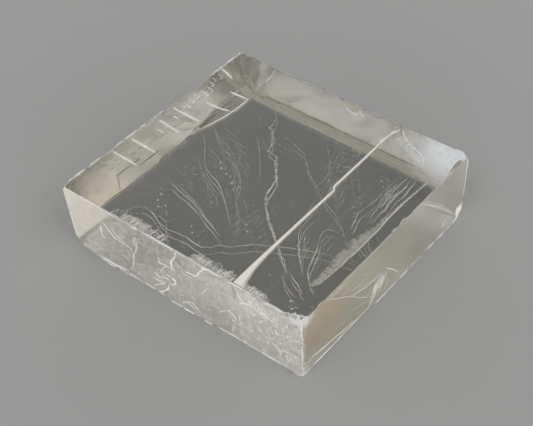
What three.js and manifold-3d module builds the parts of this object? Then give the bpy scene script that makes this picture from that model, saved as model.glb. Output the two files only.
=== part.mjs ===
// Optical calcite: one clear cleavage block of Iceland spar, lying on one of its two broad faces.
//
// Calcite splits along three families of planes and no others, so the piece is a slanted block whose
// face corners are all 101.92 or 78.08 degrees. The block is broad and low: its long and short edges
// bound the broad faces, and the third family of edges, the steep one, gives it its thickness.
//
// Seen from above, the four corners are called front, right, back and left, in that order. +X runs
// along the long edges from left to front, +Z is up, and the origin is the middle of the footprint.
// Units are millimetres and degrees.

import * as THREE from "three";
import { ConvexGeometry } from "three/addons/geometries/ConvexGeometry.js";
import { mergeVertices } from "three/addons/utils/BufferGeometryUtils.js";
import Module from "manifold-3d";

const wasm = await Module();
wasm.setup();

// ---------------------------------------------------------------- driving dimensions

const LONG_EDGE = 70; // left corner to front corner, along the upper face
const SHORT_EDGE = 64.3; // front corner to right corner, along the upper face
const THICKNESS = 18.5; // between the two broad faces
const BLUNT_ANGLE = 101.92; // blunt corner of a cleavage face
// Angles inside the stone between the upper face and each side: 105.1 and 74.9 in a perfect block.
const SIDE_ANGLES = { frontLeft: 105.4, frontRight: 105.7, backRight: 76.2, backLeft: 73.4 };

const OVERCUT = 6; // how far a cutter stands out of the stone

const CALCITE = new THREE.MeshStandardMaterial({
  name: "calcite",
  color: 0xdcd8cc,
  roughness: 0.12,
  metalness: 0,
  transparent: true,
  opacity: 0.55,
});

// ---------------------------------------------------------------- cleavage directions and corners

const blunt = THREE.MathUtils.degToRad(BLUNT_ANGLE);
const LONG = new THREE.Vector3(1, 0, 0);
const SHORT = new THREE.Vector3(-Math.cos(blunt), Math.sin(blunt), 0);
const STEEP = steepDirection();

/** The third edge direction, downwards: at the front corner it makes the blunt angle with both others. */
function steepDirection() {
  const x = -Math.cos(blunt);
  const y = (Math.cos(blunt) - x * SHORT.x) / SHORT.y;
  return new THREE.Vector3(x, y, -Math.sqrt(1 - x * x - y * y));
}

const upper = {
  front: new THREE.Vector3(0, 0, THICKNESS),
  left: new THREE.Vector3(-LONG_EDGE, 0, THICKNESS),
};
upper.right = upper.front.clone().addScaledVector(SHORT, SHORT_EDGE);
upper.back = upper.left.clone().addScaledVector(SHORT, SHORT_EDGE);

/** The line where a side meets the lower face, from the two upper corners that the side hangs from. */
function lowerLine(from, to, angle) {
  const along = to.clone().sub(from).normalize();
  const outward = new THREE.Vector3(along.y, -along.x, 0);
  const shift = -THICKNESS / Math.tan(THREE.MathUtils.degToRad(angle));
  return { point: from.clone().addScaledVector(outward, shift).setZ(0), along };
}

/** The point where two level lines cross. */
function crossing(one, other) {
  const gap = other.point.clone().sub(one.point);
  const turn = one.along.x * other.along.y - one.along.y * other.along.x;
  const step = (gap.x * other.along.y - gap.y * other.along.x) / turn;
  return one.point.clone().addScaledVector(one.along, step);
}

const lowerEdges = {
  frontLeft: lowerLine(upper.left, upper.front, SIDE_ANGLES.frontLeft),
  frontRight: lowerLine(upper.front, upper.right, SIDE_ANGLES.frontRight),
  backRight: lowerLine(upper.right, upper.back, SIDE_ANGLES.backRight),
  backLeft: lowerLine(upper.back, upper.left, SIDE_ANGLES.backLeft),
};
const lower = {
  front: crossing(lowerEdges.frontLeft, lowerEdges.frontRight),
  right: crossing(lowerEdges.frontRight, lowerEdges.backRight),
  back: crossing(lowerEdges.backRight, lowerEdges.backLeft),
  left: crossing(lowerEdges.backLeft, lowerEdges.frontLeft),
};
const corners = [...Object.values(upper), ...Object.values(lower)];
const middle = corners.reduce((sum, c) => sum.add(c), new THREE.Vector3()).divideScalar(corners.length);

/** A face's own directions: along its first edge, down its second, and straight out of the stone. */
function faceFrame(origin, alongTo, downTo) {
  const along = alongTo.clone().sub(origin).normalize();
  const down = downTo.clone().sub(origin).normalize();
  const out = along.clone().cross(down).normalize();
  if (out.dot(origin.clone().sub(middle)) < 0) out.negate();
  return { origin, along, down, out };
}

const faces = {
  upper: faceFrame(upper.front, upper.left, upper.right),
  lower: faceFrame(lower.front, lower.left, lower.right),
  frontLeft: faceFrame(upper.front, upper.left, lower.front),
  frontRight: faceFrame(upper.front, upper.right, lower.front),
  backRight: faceFrame(upper.right, upper.back, lower.right),
  backLeft: faceFrame(upper.back, upper.left, lower.back),
};

/** A point of a face, from its distances along the two edges and out of the stone. */
function pointOn(face, along, down, out = 0) {
  return face.origin
    .clone()
    .addScaledVector(face.along, along)
    .addScaledVector(face.down, down)
    .addScaledVector(face.out, out);
}

// ---------------------------------------------------------------- solids and cutters

/** A closed geometry, moved by a matrix, as a solid. A mirroring matrix would leave it inside out. */
function solidOf(geometry, matrix = new THREE.Matrix4()) {
  const bare = geometry.clone().applyMatrix4(matrix);
  bare.deleteAttribute("normal");
  bare.deleteAttribute("uv");
  const merged = mergeVertices(bare, 1e-4);
  const triVerts = new Uint32Array(merged.index.array);
  if (matrix.determinant() < 0) triVerts.reverse();
  const vertProperties = merged.attributes.position.array;
  return new wasm.Manifold(new wasm.Mesh({ numProp: 3, vertProperties, triVerts }));
}

/** A flat break through three points: everything on its far side from the middle of the stone. */
function breakThrough(a, b, c) {
  const plane = new THREE.Plane().setFromCoplanarPoints(a, b, c);
  if (plane.distanceToPoint(middle) > 0) plane.negate();
  const size = 2 * LONG_EDGE;
  const block = new THREE.BoxGeometry(size, size, size).translate(0, 0, size / 2);
  const turn = new THREE.Quaternion().setFromUnitVectors(new THREE.Vector3(0, 0, 1), plane.normal);
  return solidOf(block, new THREE.Matrix4().makeRotationFromQuaternion(turn).setPosition(a));
}

/** A shallow terrace: the outline, in distances along and down a face, sunk to a depth. */
function terrace(face, outline, depth) {
  const shape = new THREE.Shape(outline.map(([along, down]) => new THREE.Vector2(along, down)));
  const slab = new THREE.ExtrudeGeometry(shape, { depth: depth + OVERCUT, bevelEnabled: false });
  slab.translate(0, 0, -depth);
  const place = new THREE.Matrix4().makeBasis(face.along, face.down, face.out);
  return solidOf(slab, place.setPosition(face.origin));
}

/** A rounded, shell-like break: an ellipsoid with its radii along a face, across it and into it. */
function scoop(face, [along, down], radii, detail = 4) {
  const across = face.out.clone().cross(face.along);
  const ball = new THREE.IcosahedronGeometry(1, detail).scale(...radii);
  const place = new THREE.Matrix4().makeBasis(face.along, across, face.out);
  return solidOf(ball, place.setPosition(pointOn(face, along, down)));
}

/** A slanted box whose edges follow the three cleavage directions, centred on a point. */
function fragment(centre, long, short, steep) {
  const place = new THREE.Matrix4().makeBasis(
    LONG.clone().multiplyScalar(long),
    SHORT.clone().multiplyScalar(short),
    STEEP.clone().multiplyScalar(steep),
  );
  return solidOf(new THREE.BoxGeometry(1, 1, 1), place.setPosition(centre));
}

/** A repeatable sequence of numbers between 0 and 1. */
function sequence(seed) {
  let state = seed;
  return () => {
    state = (state * 1664525 + 1013904223) % 4294967296;
    return state / 4294967296;
  };
}

// ---------------------------------------------------------------- the breaks at the corners

const CORNER_BREAKS = [
  // left, upper: a small flat facet
  [
    pointOn(faces.upper, LONG_EDGE, 2.4),
    pointOn(faces.upper, LONG_EDGE - 1.1, 0),
    pointOn(faces.frontLeft, LONG_EDGE, 1.2),
  ],
  // left, lower: a long low facet that runs in under the front-left side
  [
    pointOn(faces.lower, LONG_EDGE - 9, 0),
    pointOn(faces.lower, LONG_EDGE, 1.8),
    pointOn(faces.frontLeft, LONG_EDGE, 17.8),
  ],
  // front, upper: the worst knock, with its pits below
  [
    pointOn(faces.upper, 5.4, 0),
    pointOn(faces.upper, 0, 2.3),
    pointOn(faces.frontRight, 0, 1.5),
  ],
  // front, lower tip
  [
    pointOn(faces.lower, 1.4, 0),
    pointOn(faces.lower, 0, 1.9),
    pointOn(faces.frontRight, 0, 18.6),
  ],
  // right, upper
  [
    pointOn(faces.backRight, 1.7, 0),
    pointOn(faces.frontRight, SHORT_EDGE - 1.4, 0),
    pointOn(faces.backRight, 0, 1.8),
  ],
  // right, lower
  [
    pointOn(faces.backRight, 0, 17.6),
    pointOn(faces.lower, 0, SHORT_EDGE - 2.6),
    pointOn(faces.lower, 1.2, SHORT_EDGE),
  ],
  // back, upper: barely rounded
  [
    pointOn(faces.upper, LONG_EDGE, SHORT_EDGE - 0.8),
    pointOn(faces.upper, LONG_EDGE - 0.8, SHORT_EDGE),
    pointOn(faces.backLeft, 0, 0.8),
  ],
  // the steep front edge is knocked flat from top to bottom
  [
    pointOn(faces.frontRight, 1.5, 0),
    pointOn(faces.frontRight, 1.4, THICKNESS),
    pointOn(faces.frontLeft, 0.7, THICKNESS / 2),
  ],
];

// ---------------------------------------------------------------- terraces on the sides

const TERRACES = [
  // front-left side: two jagged steps near the middle, and the coarse field towards the left corner
  {
    face: faces.frontLeft,
    depth: 0.35,
    outline: [[26.3, -2], [28.7, 2.7], [30.3, 5.4], [33, 6], [34.4, 3.2], [36.4, 3.4], [35, 1], [36.2, -2]],
  },
  {
    face: faces.frontLeft,
    depth: 0.3,
    outline: [
      [42.6, 21], [40.2, 16.9], [39.7, 14.3], [36.8, 11.8], [37.6, 10.6], [41.2, 11.3], [39.6, 8.1],
      [42.3, 9.3], [45.4, 12.6], [50.5, 12.2], [52.6, 17], [53.4, 21],
    ],
  },
  {
    face: faces.frontLeft,
    depth: 0.18,
    outline: [[54.2, -2], [57.4, 3.6], [62.8, 10.4], [69.4, 17.1], [72.5, 21], [75, 21], [75, -2]],
  },
  {
    face: faces.frontLeft,
    depth: 0.28,
    outline: [[3.4, 13.2], [8.2, 12.1], [13.6, 14.4], [18.8, 13.6], [22.4, 16.2], [25.6, 21], [2.4, 21]],
  },
  // front-right side: the ledge that runs out of the lower front corner, and the slanting step
  {
    face: faces.frontRight,
    depth: 0.4,
    outline: [[-3, 14.5], [1.3, 14.6], [8, 15], [15.3, 15.9], [22.6, 17.4], [31, 21], [-3, 21]],
  },
  {
    face: faces.frontRight,
    depth: 0.2,
    outline: [[40.6, -2], [43.4, 1.2], [51.8, 9.1], [58.4, 14.6], [65.2, 21], [70, 21], [70, -2]],
  },
  // back-left side: blocks split off in steps along the upper half
  {
    face: faces.backLeft,
    depth: 0.3,
    outline: [
      [12.6, -2], [12.6, 4.6], [18.4, 4.6], [18.4, 6.8], [24.8, 6.8], [24.8, 3.1], [30.2, 3.1], [30.2, -2],
    ],
  },
  {
    face: faces.backLeft,
    depth: 0.25,
    outline: [[34.2, 21], [34.2, 15.2], [40.6, 15.2], [40.6, 12.4], [48.3, 12.4], [48.3, 21]],
  },
  // back-right side: the low ripples by the right corner, and one broad step
  {
    face: faces.backRight,
    depth: 0.25,
    outline: [[3.6, -2], [4, 2.6], [8, 8.4], [8.8, 2.4], [12.4, 1.2], [13.8, -2]],
  },
  {
    face: faces.backRight,
    depth: 0.3,
    outline: [
      [19.6, -2], [19.6, 5.2], [26.4, 7.9], [34.8, 6.4], [46.2, 9.2], [58.6, 8.1], [66, 11.4], [74, 11.4],
      [74, -2],
    ],
  },
];

// ---------------------------------------------------------------- shell-like breaks

const SCOOPS = [
  // pits in the knocked front corner
  { face: faces.upper, at: [2.6, 0.7], radii: [0.75, 0.55, 1.15] },
  { face: faces.upper, at: [1.1, 1.2], radii: [0.5, 0.6, 1.3] },
  { face: faces.upper, at: [3.9, 0.2], radii: [0.6, 0.5, 0.8] },
  { face: faces.frontLeft, at: [1.7, 2.1], radii: [0.7, 0.6, 0.5] },
  // upper edge of the front-right side
  { face: faces.upper, at: [-0.2, 5.9], radii: [0.5, 1.4, 0.5] },
  { face: faces.upper, at: [-0.3, 36.4], radii: [0.8, 1.7, 0.6] },
  { face: faces.upper, at: [-0.35, 56.6], radii: [1.1, 5.2, 0.75] },
  // back-right side, at its notch and by the right corner
  { face: faces.backRight, at: [29.8, -0.2], radii: [1.6, 1.1, 0.7] },
  { face: faces.backRight, at: [16.4, -0.3], radii: [4.6, 1, 0.6] },
  // back-left side, along its upper edge
  { face: faces.backLeft, at: [25.2, -0.3], radii: [6.2, 0.6, 0.35] },
  { face: faces.backLeft, at: [49.4, -0.4], radii: [3.8, 0.7, 0.4] },
  // the wide shell that runs out of the lower edge and through the back corner
  { face: faces.lower, at: [LONG_EDGE + 15.5, 75.1], radii: [17.1, 36.1, 4.5], detail: 14 },
  // lower edge of the front-left side: the nick, and the thin shells on both sides of it
  { face: faces.lower, at: [25.6, -0.3], radii: [0.9, 1.1, 0.8] },
  { face: faces.lower, at: [50.2, -0.5], radii: [4.1, 0.85, 0.5] },
  { face: faces.lower, at: [12.8, -0.5], radii: [3.2, 0.8, 0.45] },
  // lower edge of the front-right side
  { face: faces.lower, at: [-0.4, 20.4], radii: [0.65, 3.2, 0.5] },
  { face: faces.lower, at: [-0.4, 46.2], radii: [0.65, 3.1, 0.5] },
];

// ---------------------------------------------------------------- shells sprung off the upper front-left edge

const SHELL_SEED = 5;
// Where the shells lie along the edge from the front corner, how far they spread and how far they reach in.
const SHELL_CLUSTERS = [
  { at: 48.8, spread: 4.2, reach: 3.6, count: 6 },
  { at: 27.8, spread: 2.2, reach: 3.2, count: 4 },
  { at: 21.9, spread: 2.1, reach: 3.1, count: 4 },
  { at: 12.9, spread: 3.1, reach: 2.2, count: 5 },
];

/** Overlapping shallow shells along the edge, each of its own size. */
function edgeShells() {
  const next = sequence(SHELL_SEED);
  return SHELL_CLUSTERS.flatMap(({ at, spread, reach, count }) =>
    Array.from({ length: count }, (_, i) => {
      const along = at + spread * ((2 * i) / (count - 1) - 1) * (0.8 + 0.3 * next());
      const length = 0.7 + 1.3 * next();
      const inwards = reach * (0.45 + 0.55 * next());
      const depth = 0.16 + 0.26 * next();
      return scoop(faces.upper, [along, 0.3 * next()], [length, inwards, depth]);
    }),
  );
}

// ---------------------------------------------------------------- ledges under the back-right side

const LEDGE_STEPS = 4;
const LEDGE_TREAD = 0.52;
const LEDGE_RISER = 0.62;
const LEDGE_ENDS = { right: 3, back: 2.5 }; // how far the lowest ledge stops short of the two corners
const LEDGE_SETBACK = 2.5; // how much sooner each higher ledge stops, at either end
const LEDGE_SHIFT = 1.3; // to and fro along the edge

/** Level ledges that climb the lower back-right edge: the lowest reaches furthest in, the highest least. */
function backLedges() {
  const from = lower.right.clone().addScaledVector(LONG, -LEDGE_ENDS.right);
  const to = lower.back.clone().addScaledVector(LONG, LEDGE_ENDS.back);
  const centre = from.clone().add(to).divideScalar(2);
  return Array.from({ length: LEDGE_STEPS }, (_, i) => {
    const length = from.distanceTo(to) - 2 * LEDGE_SETBACK * i;
    const shift = i % 2 ? LEDGE_SHIFT : -LEDGE_SHIFT;
    const inwards = LEDGE_TREAD * (LEDGE_STEPS - i);
    const upwards = LEDGE_RISER * (i + 1);
    return fragment(centre.clone().addScaledVector(LONG, shift), length, 2 * inwards, 2 * upwards);
  });
}

// ---------------------------------------------------------------- the open crack

const CRACK_FROM_FRONT = 18.7; // from the front-right side, along the upper face
const CRACK_MOUTH = 0.24;
// How deep it runs at distances along the short edge. It is deepest where it opens through the front-left side.
const CRACK_NEAR_DEPTHS = [[0, 6.4], [6, 3.6], [13, 2.1], [20, 1.6], [36, 1.3]];
const CRACK_FAR_DEPTHS = [[36, 1.3], [SHORT_EDGE, 0.75]];
const CRACK_JOG = 0.78; // how far the two lengths lie apart
const CRACK_LIP = 0.4; // how far the cutting wedge stands out of the upper face

/** One length of the crack, a thin wedge that follows the short and steep cleavage directions. */
function crackWedge(from, to, startDepth, endDepth, offset) {
  const half = CRACK_MOUTH / 2;
  const rim = (over, side) => pointOn(faces.upper, CRACK_FROM_FRONT + offset + side, over);
  const points = [];
  [[from, startDepth], [to, endDepth]].forEach(([over, depth]) => {
    [-half, half].forEach((side) => points.push(rim(over, side).addScaledVector(STEEP, -CRACK_LIP)));
    points.push(rim(over, 0).addScaledVector(STEEP, depth));
  });
  return solidOf(new ConvexGeometry(points));
}

/** The crack that crosses the upper face parallel to the front-right side: deep at its toe, jogged once. */
function openCrack() {
  const overlap = 0.05;
  const beyond = 3;
  const lengths = (depths, offset) =>
    depths.slice(1).map(([end, endDepth], i) => {
      const [start, startDepth] = depths[i];
      const from = start === 0 ? -beyond : start - overlap;
      const to = end === SHORT_EDGE ? end + beyond : end;
      return crackWedge(from, to, startDepth, endDepth, offset);
    });
  return [...lengths(CRACK_NEAR_DEPTHS, 0), ...lengths(CRACK_FAR_DEPTHS, CRACK_JOG)];
}

// ---------------------------------------------------------------- nicks along the edges

const NICK_SEED = 11;
const NICK_SPACING = { least: 1.1, spread: 4 };
const NICK_LENGTH = { least: 0.6, spread: 3 };
const NICK_CUT = { least: 0.25, spread: 1.2 }; // as shares of the edge's own size

const EDGES = [
  { from: upper.left, to: upper.front, size: 0.42 },
  { from: upper.front, to: upper.right, size: 0.45 },
  { from: upper.right, to: upper.back, size: 0.42 },
  { from: upper.back, to: upper.left, size: 0.48 },
  { from: lower.left, to: lower.front, size: 0.5 },
  { from: lower.front, to: lower.right, size: 0.45 },
  { from: lower.back, to: lower.left, size: 0.7 },
  { from: upper.left, to: lower.left, size: 0.42 },
  { from: upper.right, to: lower.right, size: 0.5 },
  { from: upper.back, to: lower.back, size: 0.6 },
];

/** Cleavage nicks: slanted boxes sunk a few tenths of a millimetre into an edge, most of them short. */
function nicksAlong({ from, to, size }, next) {
  const length = from.distanceTo(to);
  const along = to.clone().sub(from).normalize();
  const mostlySmall = ({ least, spread }) => least + spread * next() * next();
  const nicks = [];
  let at = NICK_SPACING.spread * next();
  while (at < length) {
    const run = mostlySmall(NICK_LENGTH);
    const spans = [LONG, SHORT, STEEP].map((way) =>
      Math.abs(way.dot(along)) > 0.9 ? run : 2 * size * mostlySmall(NICK_CUT),
    );
    nicks.push(fragment(from.clone().addScaledVector(along, at), ...spans));
    at += run / 2 + NICK_SPACING.least + NICK_SPACING.spread * next();
  }
  return nicks;
}

// ---------------------------------------------------------------- the stone

/** The whole block, cut to its natural surface. */
function calciteBlock() {
  const next = sequence(NICK_SEED);
  const cutters = [
    ...CORNER_BREAKS.map((points) => breakThrough(...points)),
    ...TERRACES.map(({ face, outline, depth }) => terrace(face, outline, depth)),
    ...SCOOPS.map(({ face, at, radii, detail }) => scoop(face, at, radii, detail)),
    ...edgeShells(),
    ...backLedges(),
    ...openCrack(),
    ...EDGES.flatMap((edge) => nicksAlong(edge, next)),
  ];
  return cutters.reduce((stone, cutter) => stone.subtract(cutter), solidOf(new ConvexGeometry(corners)));
}

/** A geometry from a solid's vertices and triangles. */
function geometryOf(solid) {
  const { vertProperties, triVerts } = solid.getMesh();
  const geometry = new THREE.BufferGeometry();
  geometry.setAttribute("position", new THREE.BufferAttribute(vertProperties, 3));
  geometry.setIndex(new THREE.BufferAttribute(triVerts, 1));
  geometry.computeVertexNormals();
  return geometry;
}

const block = geometryOf(calciteBlock());
block.computeBoundingBox();
const footprint = block.boundingBox.getCenter(new THREE.Vector3());
block.translate(-footprint.x, -footprint.y, -block.boundingBox.min.z);

const calcite = new THREE.Mesh(block, CALCITE);
calcite.name = "calcite_rhomb";

const specimen = new THREE.Group();
specimen.name = "optical_calcite";
specimen.add(calcite);

export default specimen;
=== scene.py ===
"""Dresses the clear calcite cleavage block: its glass-clear body, its cracks, scratches and frosted sides."""

import logging
import math
import random
from dataclasses import dataclass, field
from enum import Enum
from typing import Iterable, Sequence

import bmesh
import bpy
from mathutils import Matrix, Vector
from mathutils.bvhtree import BVHTree


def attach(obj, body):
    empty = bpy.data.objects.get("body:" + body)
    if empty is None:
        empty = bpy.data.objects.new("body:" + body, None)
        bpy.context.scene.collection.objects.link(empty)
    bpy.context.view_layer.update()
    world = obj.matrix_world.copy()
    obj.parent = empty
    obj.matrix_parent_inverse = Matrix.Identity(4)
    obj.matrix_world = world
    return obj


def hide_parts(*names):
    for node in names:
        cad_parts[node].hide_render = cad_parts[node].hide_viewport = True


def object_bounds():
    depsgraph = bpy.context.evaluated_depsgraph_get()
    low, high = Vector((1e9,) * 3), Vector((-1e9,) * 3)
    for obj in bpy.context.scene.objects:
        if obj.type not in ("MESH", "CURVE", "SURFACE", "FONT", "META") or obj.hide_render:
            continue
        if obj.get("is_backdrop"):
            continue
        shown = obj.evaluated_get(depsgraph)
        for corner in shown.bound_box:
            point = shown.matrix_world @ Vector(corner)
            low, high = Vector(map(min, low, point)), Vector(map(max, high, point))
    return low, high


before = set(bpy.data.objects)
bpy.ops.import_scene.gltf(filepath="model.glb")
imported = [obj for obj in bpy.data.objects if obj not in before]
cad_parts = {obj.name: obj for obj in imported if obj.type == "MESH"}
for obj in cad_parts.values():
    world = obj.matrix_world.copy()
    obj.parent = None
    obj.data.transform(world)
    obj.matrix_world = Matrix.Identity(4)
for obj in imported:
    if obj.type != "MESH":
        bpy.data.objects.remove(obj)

logging.basicConfig(level=logging.INFO, format="%(message)s")
log = logging.getLogger("calcite")

MM = 0.001
BODY = "root"
NODE = "calcite_rhomb"
CAD_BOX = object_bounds()
INDEX = 1.6

Pair = tuple[float, float]
Triple = tuple[float, float, float]
Run = tuple[Pair, ...]
Mark = tuple[float, float, Run]
Spot = tuple[Pair, float, float]
Cut = tuple[Pair, Pair, float]
Cloud = tuple[float, float, float, float]
Socket = bpy.types.NodeSocket
Solid = bpy.types.Object


# ---------------------------------------------------------------- the plan of the block, in millimetres


def fixed(*values: float) -> Vector:
    """A field that starts as a vector of its own."""
    return field(default_factory=lambda: Vector(values))


@dataclass(frozen=True)
class Face:
    """One cleavage face, with the directions of its two edges and the way out of the stone."""

    origin: Vector
    along: Vector
    across: Vector
    out: Vector

    def at(self, along: float, across: float, inset: float = 0.0) -> Vector:
        """A point of the face, or of the stone behind it.

        Args:
            along: distance along the face's first edge.
            across: distance along its second edge.
            inset: how deep in the stone the point lies.

        Returns:
            The point, in millimetres.
        """
        return self.origin + self.along * along + self.across * across - self.out * inset


@dataclass
class BlockPlan:
    """The corners that the stone's flat faces would meet in, had nothing been knocked off, and the faces."""

    upper_front: Vector = fixed(26.315, -28.905, 18.5)
    upper_left: Vector = fixed(-43.685, -28.905, 18.5)
    upper_back: Vector = fixed(-30.404, 34.008, 18.5)
    upper_right: Vector = fixed(39.596, 34.008, 18.5)
    lower_front: Vector = fixed(30.554, -34.001, 0.0)
    lower_left: Vector = fixed(-39.124, -34.001, 0.0)
    lower_back: Vector = fixed(-25.727, 29.464, 0.0)
    lower_right: Vector = fixed(43.951, 29.464, 0.0)
    # the downward cleavage direction that neither broad face holds
    steep: Vector = fixed(0.2066, -0.2548, -0.9447)

    def __post_init__(self) -> None:
        """Works out the middle of the stone and its six faces."""
        self.middle = (self.upper_front + self.upper_back + self.lower_front + self.lower_back) / 4
        self.upper = self.face(self.upper_front, self.upper_left, self.upper_right)
        self.lower = self.face(self.lower_front, self.lower_left, self.lower_right)
        self.front_left = self.face(self.upper_front, self.upper_left, self.lower_front)
        self.front_right = self.face(self.upper_front, self.upper_right, self.lower_front)
        self.back_right = self.face(self.upper_right, self.upper_back, self.lower_right)
        self.back_left = self.face(self.upper_back, self.upper_left, self.lower_back)
        self.sides = self.front_left, self.front_right, self.back_right, self.back_left

    def face(self, origin: Vector, first: Vector, second: Vector) -> Face:
        """The face that two edges span.

        Args:
            origin: the corner that both edges start from.
            first: the far end of the first edge.
            second: the far end of the second edge.

        Returns:
            The face, with its way out pointing away from the middle of the stone.
        """
        along, across = (first - origin).normalized(), (second - origin).normalized()
        out = along.cross(across).normalized()
        if out.dot(origin - self.middle) < 0:
            out.negate()
        return Face(origin, along, across, out)


PLAN = BlockPlan()
UP = Vector((0, 0, 1))
# where the stone's double refraction puts the second image of a mark on the lower face
SECOND_IMAGE = Vector((0.63, -0.777, 0.0)) * 2.0


# ---------------------------------------------------------------- shading


class Mask:
    """A number that varies over the stone, reckoned with as a plain number is."""

    def __init__(self, shading: "Shading", socket: Socket) -> None:
        """Wraps a socket of a material."""
        self.shading, self.socket = shading, socket

    def __mul__(self, other: "Mask | float") -> "Mask":
        """The product."""
        return self.shading.step("MULTIPLY", self, other)

    def __add__(self, other: "Mask | float") -> "Mask":
        """The sum."""
        return self.shading.step("ADD", self, other)

    def __or__(self, other: "Mask") -> "Mask":
        """The larger of the two."""
        return self.shading.step("MAXIMUM", self, other)

    def rest(self) -> "Mask":
        """What is missing from 1."""
        return self.shading.step("SUBTRACT", 1.0, self, clamp=True)

    def fade(self, start: float, end: float, low: float = 0.0, high: float = 1.0) -> "Mask":
        """A smooth run of the number.

        Args:
            start: where it begins to change.
            end: where it is done changing.
            low: the result at the start.
            high: the result at the end.

        Returns:
            The run.
        """
        made = self.shading.node("ShaderNodeMapRange", interpolation_type="SMOOTHSTEP")
        targets = ("Value", "From Min", "From Max", "To Min", "To Max")
        for key, term in zip(targets, (self, start, end, low, high)):
            self.shading.join(term, made.inputs[key])
        return Mask(self.shading, made.outputs["Result"])


class Shading:
    """A material's node tree, written one step at a time. Its places are millimetres of the stone."""

    def __init__(self, name: str) -> None:
        """Starts an empty material.

        Args:
            name: what the finish is called.
        """
        self.material = bpy.data.materials.new(name)
        self.material.use_nodes = True
        self.tree = self.material.node_tree
        self.tree.nodes.clear()
        self.output = self.node("ShaderNodeOutputMaterial")
        self.surface = self.node("ShaderNodeBsdfPrincipled")
        self.join(self.surface.outputs["BSDF"], self.output.inputs["Surface"])
        self.place = self.node("ShaderNodeTexCoord").outputs["Object"]
        self.place = self.stretched((1 / MM, 1 / MM, 1 / MM))

    def node(self, kind: str, **settings: object) -> bpy.types.Node:
        """A new node with its settings.

        Args:
            kind: the node's type.
            settings: its properties.

        Returns:
            The node.
        """
        made = self.tree.nodes.new(kind)
        for key, value in settings.items():
            setattr(made, key, value)
        return made

    def join(self, source: Mask | Socket | float | Sequence[float], target: Socket) -> None:
        """Feeds a socket.

        Args:
            source: a mask or another socket, which is linked, or a plain value.
            target: the socket that is fed.
        """
        if isinstance(source, Mask):
            source = source.socket
        if isinstance(source, bpy.types.NodeSocket):
            self.tree.links.new(source, target)
        else:
            target.default_value = source

    def feed(self, **sources: Mask | Socket | float) -> None:
        """Feeds inputs of the surface, each named with _ for a space."""
        for key, source in sources.items():
            self.join(source, self.surface.inputs[key.replace("_", " ")])

    def stretched(self, scale: Triple) -> Socket:
        """The place with its three directions scaled.

        Args:
            scale: how much each of them grows.

        Returns:
            The scaled place.
        """
        made = self.node("ShaderNodeMapping")
        made.inputs["Scale"].default_value = scale
        self.join(self.place, made.inputs["Vector"])
        return made.outputs["Vector"]

    def step(self, kind: str, *terms: Mask | float, clamp: bool = False) -> Mask:
        """One step of arithmetic.

        Args:
            kind: the operation, such as ADD or MAXIMUM.
            terms: what it works on.
            clamp: whether the result stays between 0 and 1.

        Returns:
            The result.
        """
        made = self.node("ShaderNodeMath", operation=kind, use_clamp=clamp)
        for term, target in zip(terms, made.inputs):
            self.join(term, target)
        return Mask(self, made.outputs["Value"])

    def measure(self, kind: str, other: Vector) -> Mask:
        """The place reckoned with one vector.

        Args:
            kind: the operation, such as DOT_PRODUCT or DISTANCE.
            other: the vector.

        Returns:
            The result.
        """
        made = self.node("ShaderNodeVectorMath", operation=kind)
        self.join(self.place, made.inputs[0])
        made.inputs[1].default_value = other
        return Mask(self, made.outputs["Value"])

    def noise(
        self, scale: float, detail: float, roughness: float, twist: float = 0.0, place: Socket | None = None
    ) -> Mask:
        """Cloudy noise, from 0 to 1.

        Args:
            scale: clouds per millimetre.
            detail: how many finer octaves it has.
            roughness: how strong those are.
            twist: how far it bends itself.
            place: where it is read, the stone's own place if none is given.

        Returns:
            The noise.
        """
        made = self.node("ShaderNodeTexNoise")
        self.join(place or self.place, made.inputs["Vector"])
        values = {"Scale": scale, "Detail": detail, "Roughness": roughness, "Distortion": twist}
        for key, value in values.items():
            made.inputs[key].default_value = value
        return Mask(self, made.outputs["Fac"])

    def tint(self, share: Mask, first: Socket | Triple, second: Socket | Triple) -> Socket:
        """A colour between two.

        Args:
            share: how much of the second colour shows.
            first: the colour at 0.
            second: the colour at 1.

        Returns:
            The colour's socket.
        """
        made = self.node("ShaderNodeMix", data_type="RGBA")
        self.join(share, made.inputs[0])
        for colour, key in ((first, 6), (second, 7)):
            plain = not isinstance(colour, bpy.types.NodeSocket)
            self.join((*colour, 1.0) if plain else colour, made.inputs[key])
        return made.outputs[2]

    def bump(self, height: Mask, depth: float, strength: float) -> None:
        """Presses a height into the surface.

        Args:
            height: the relief, from 0 to 1.
            depth: how deep 1 is, in millimetres.
            strength: how much of it counts.
        """
        made = self.node("ShaderNodeBump")
        made.inputs["Strength"].default_value = strength
        made.inputs["Distance"].default_value = depth * MM
        self.join(height, made.inputs["Height"])
        self.feed(Normal=made.outputs["Normal"])

    def absorb(self, colour: Triple, density: float) -> None:
        """Lets the stone take a little light out of what passes through it.

        Args:
            colour: what is left of white light.
            density: how much is taken, over a metre.
        """
        volume = self.node("ShaderNodeVolumeAbsorption")
        volume.inputs["Color"].default_value = (*colour, 1.0)
        volume.inputs["Density"].default_value = density
        self.join(volume.outputs["Volume"], self.output.inputs["Volume"])


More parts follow.
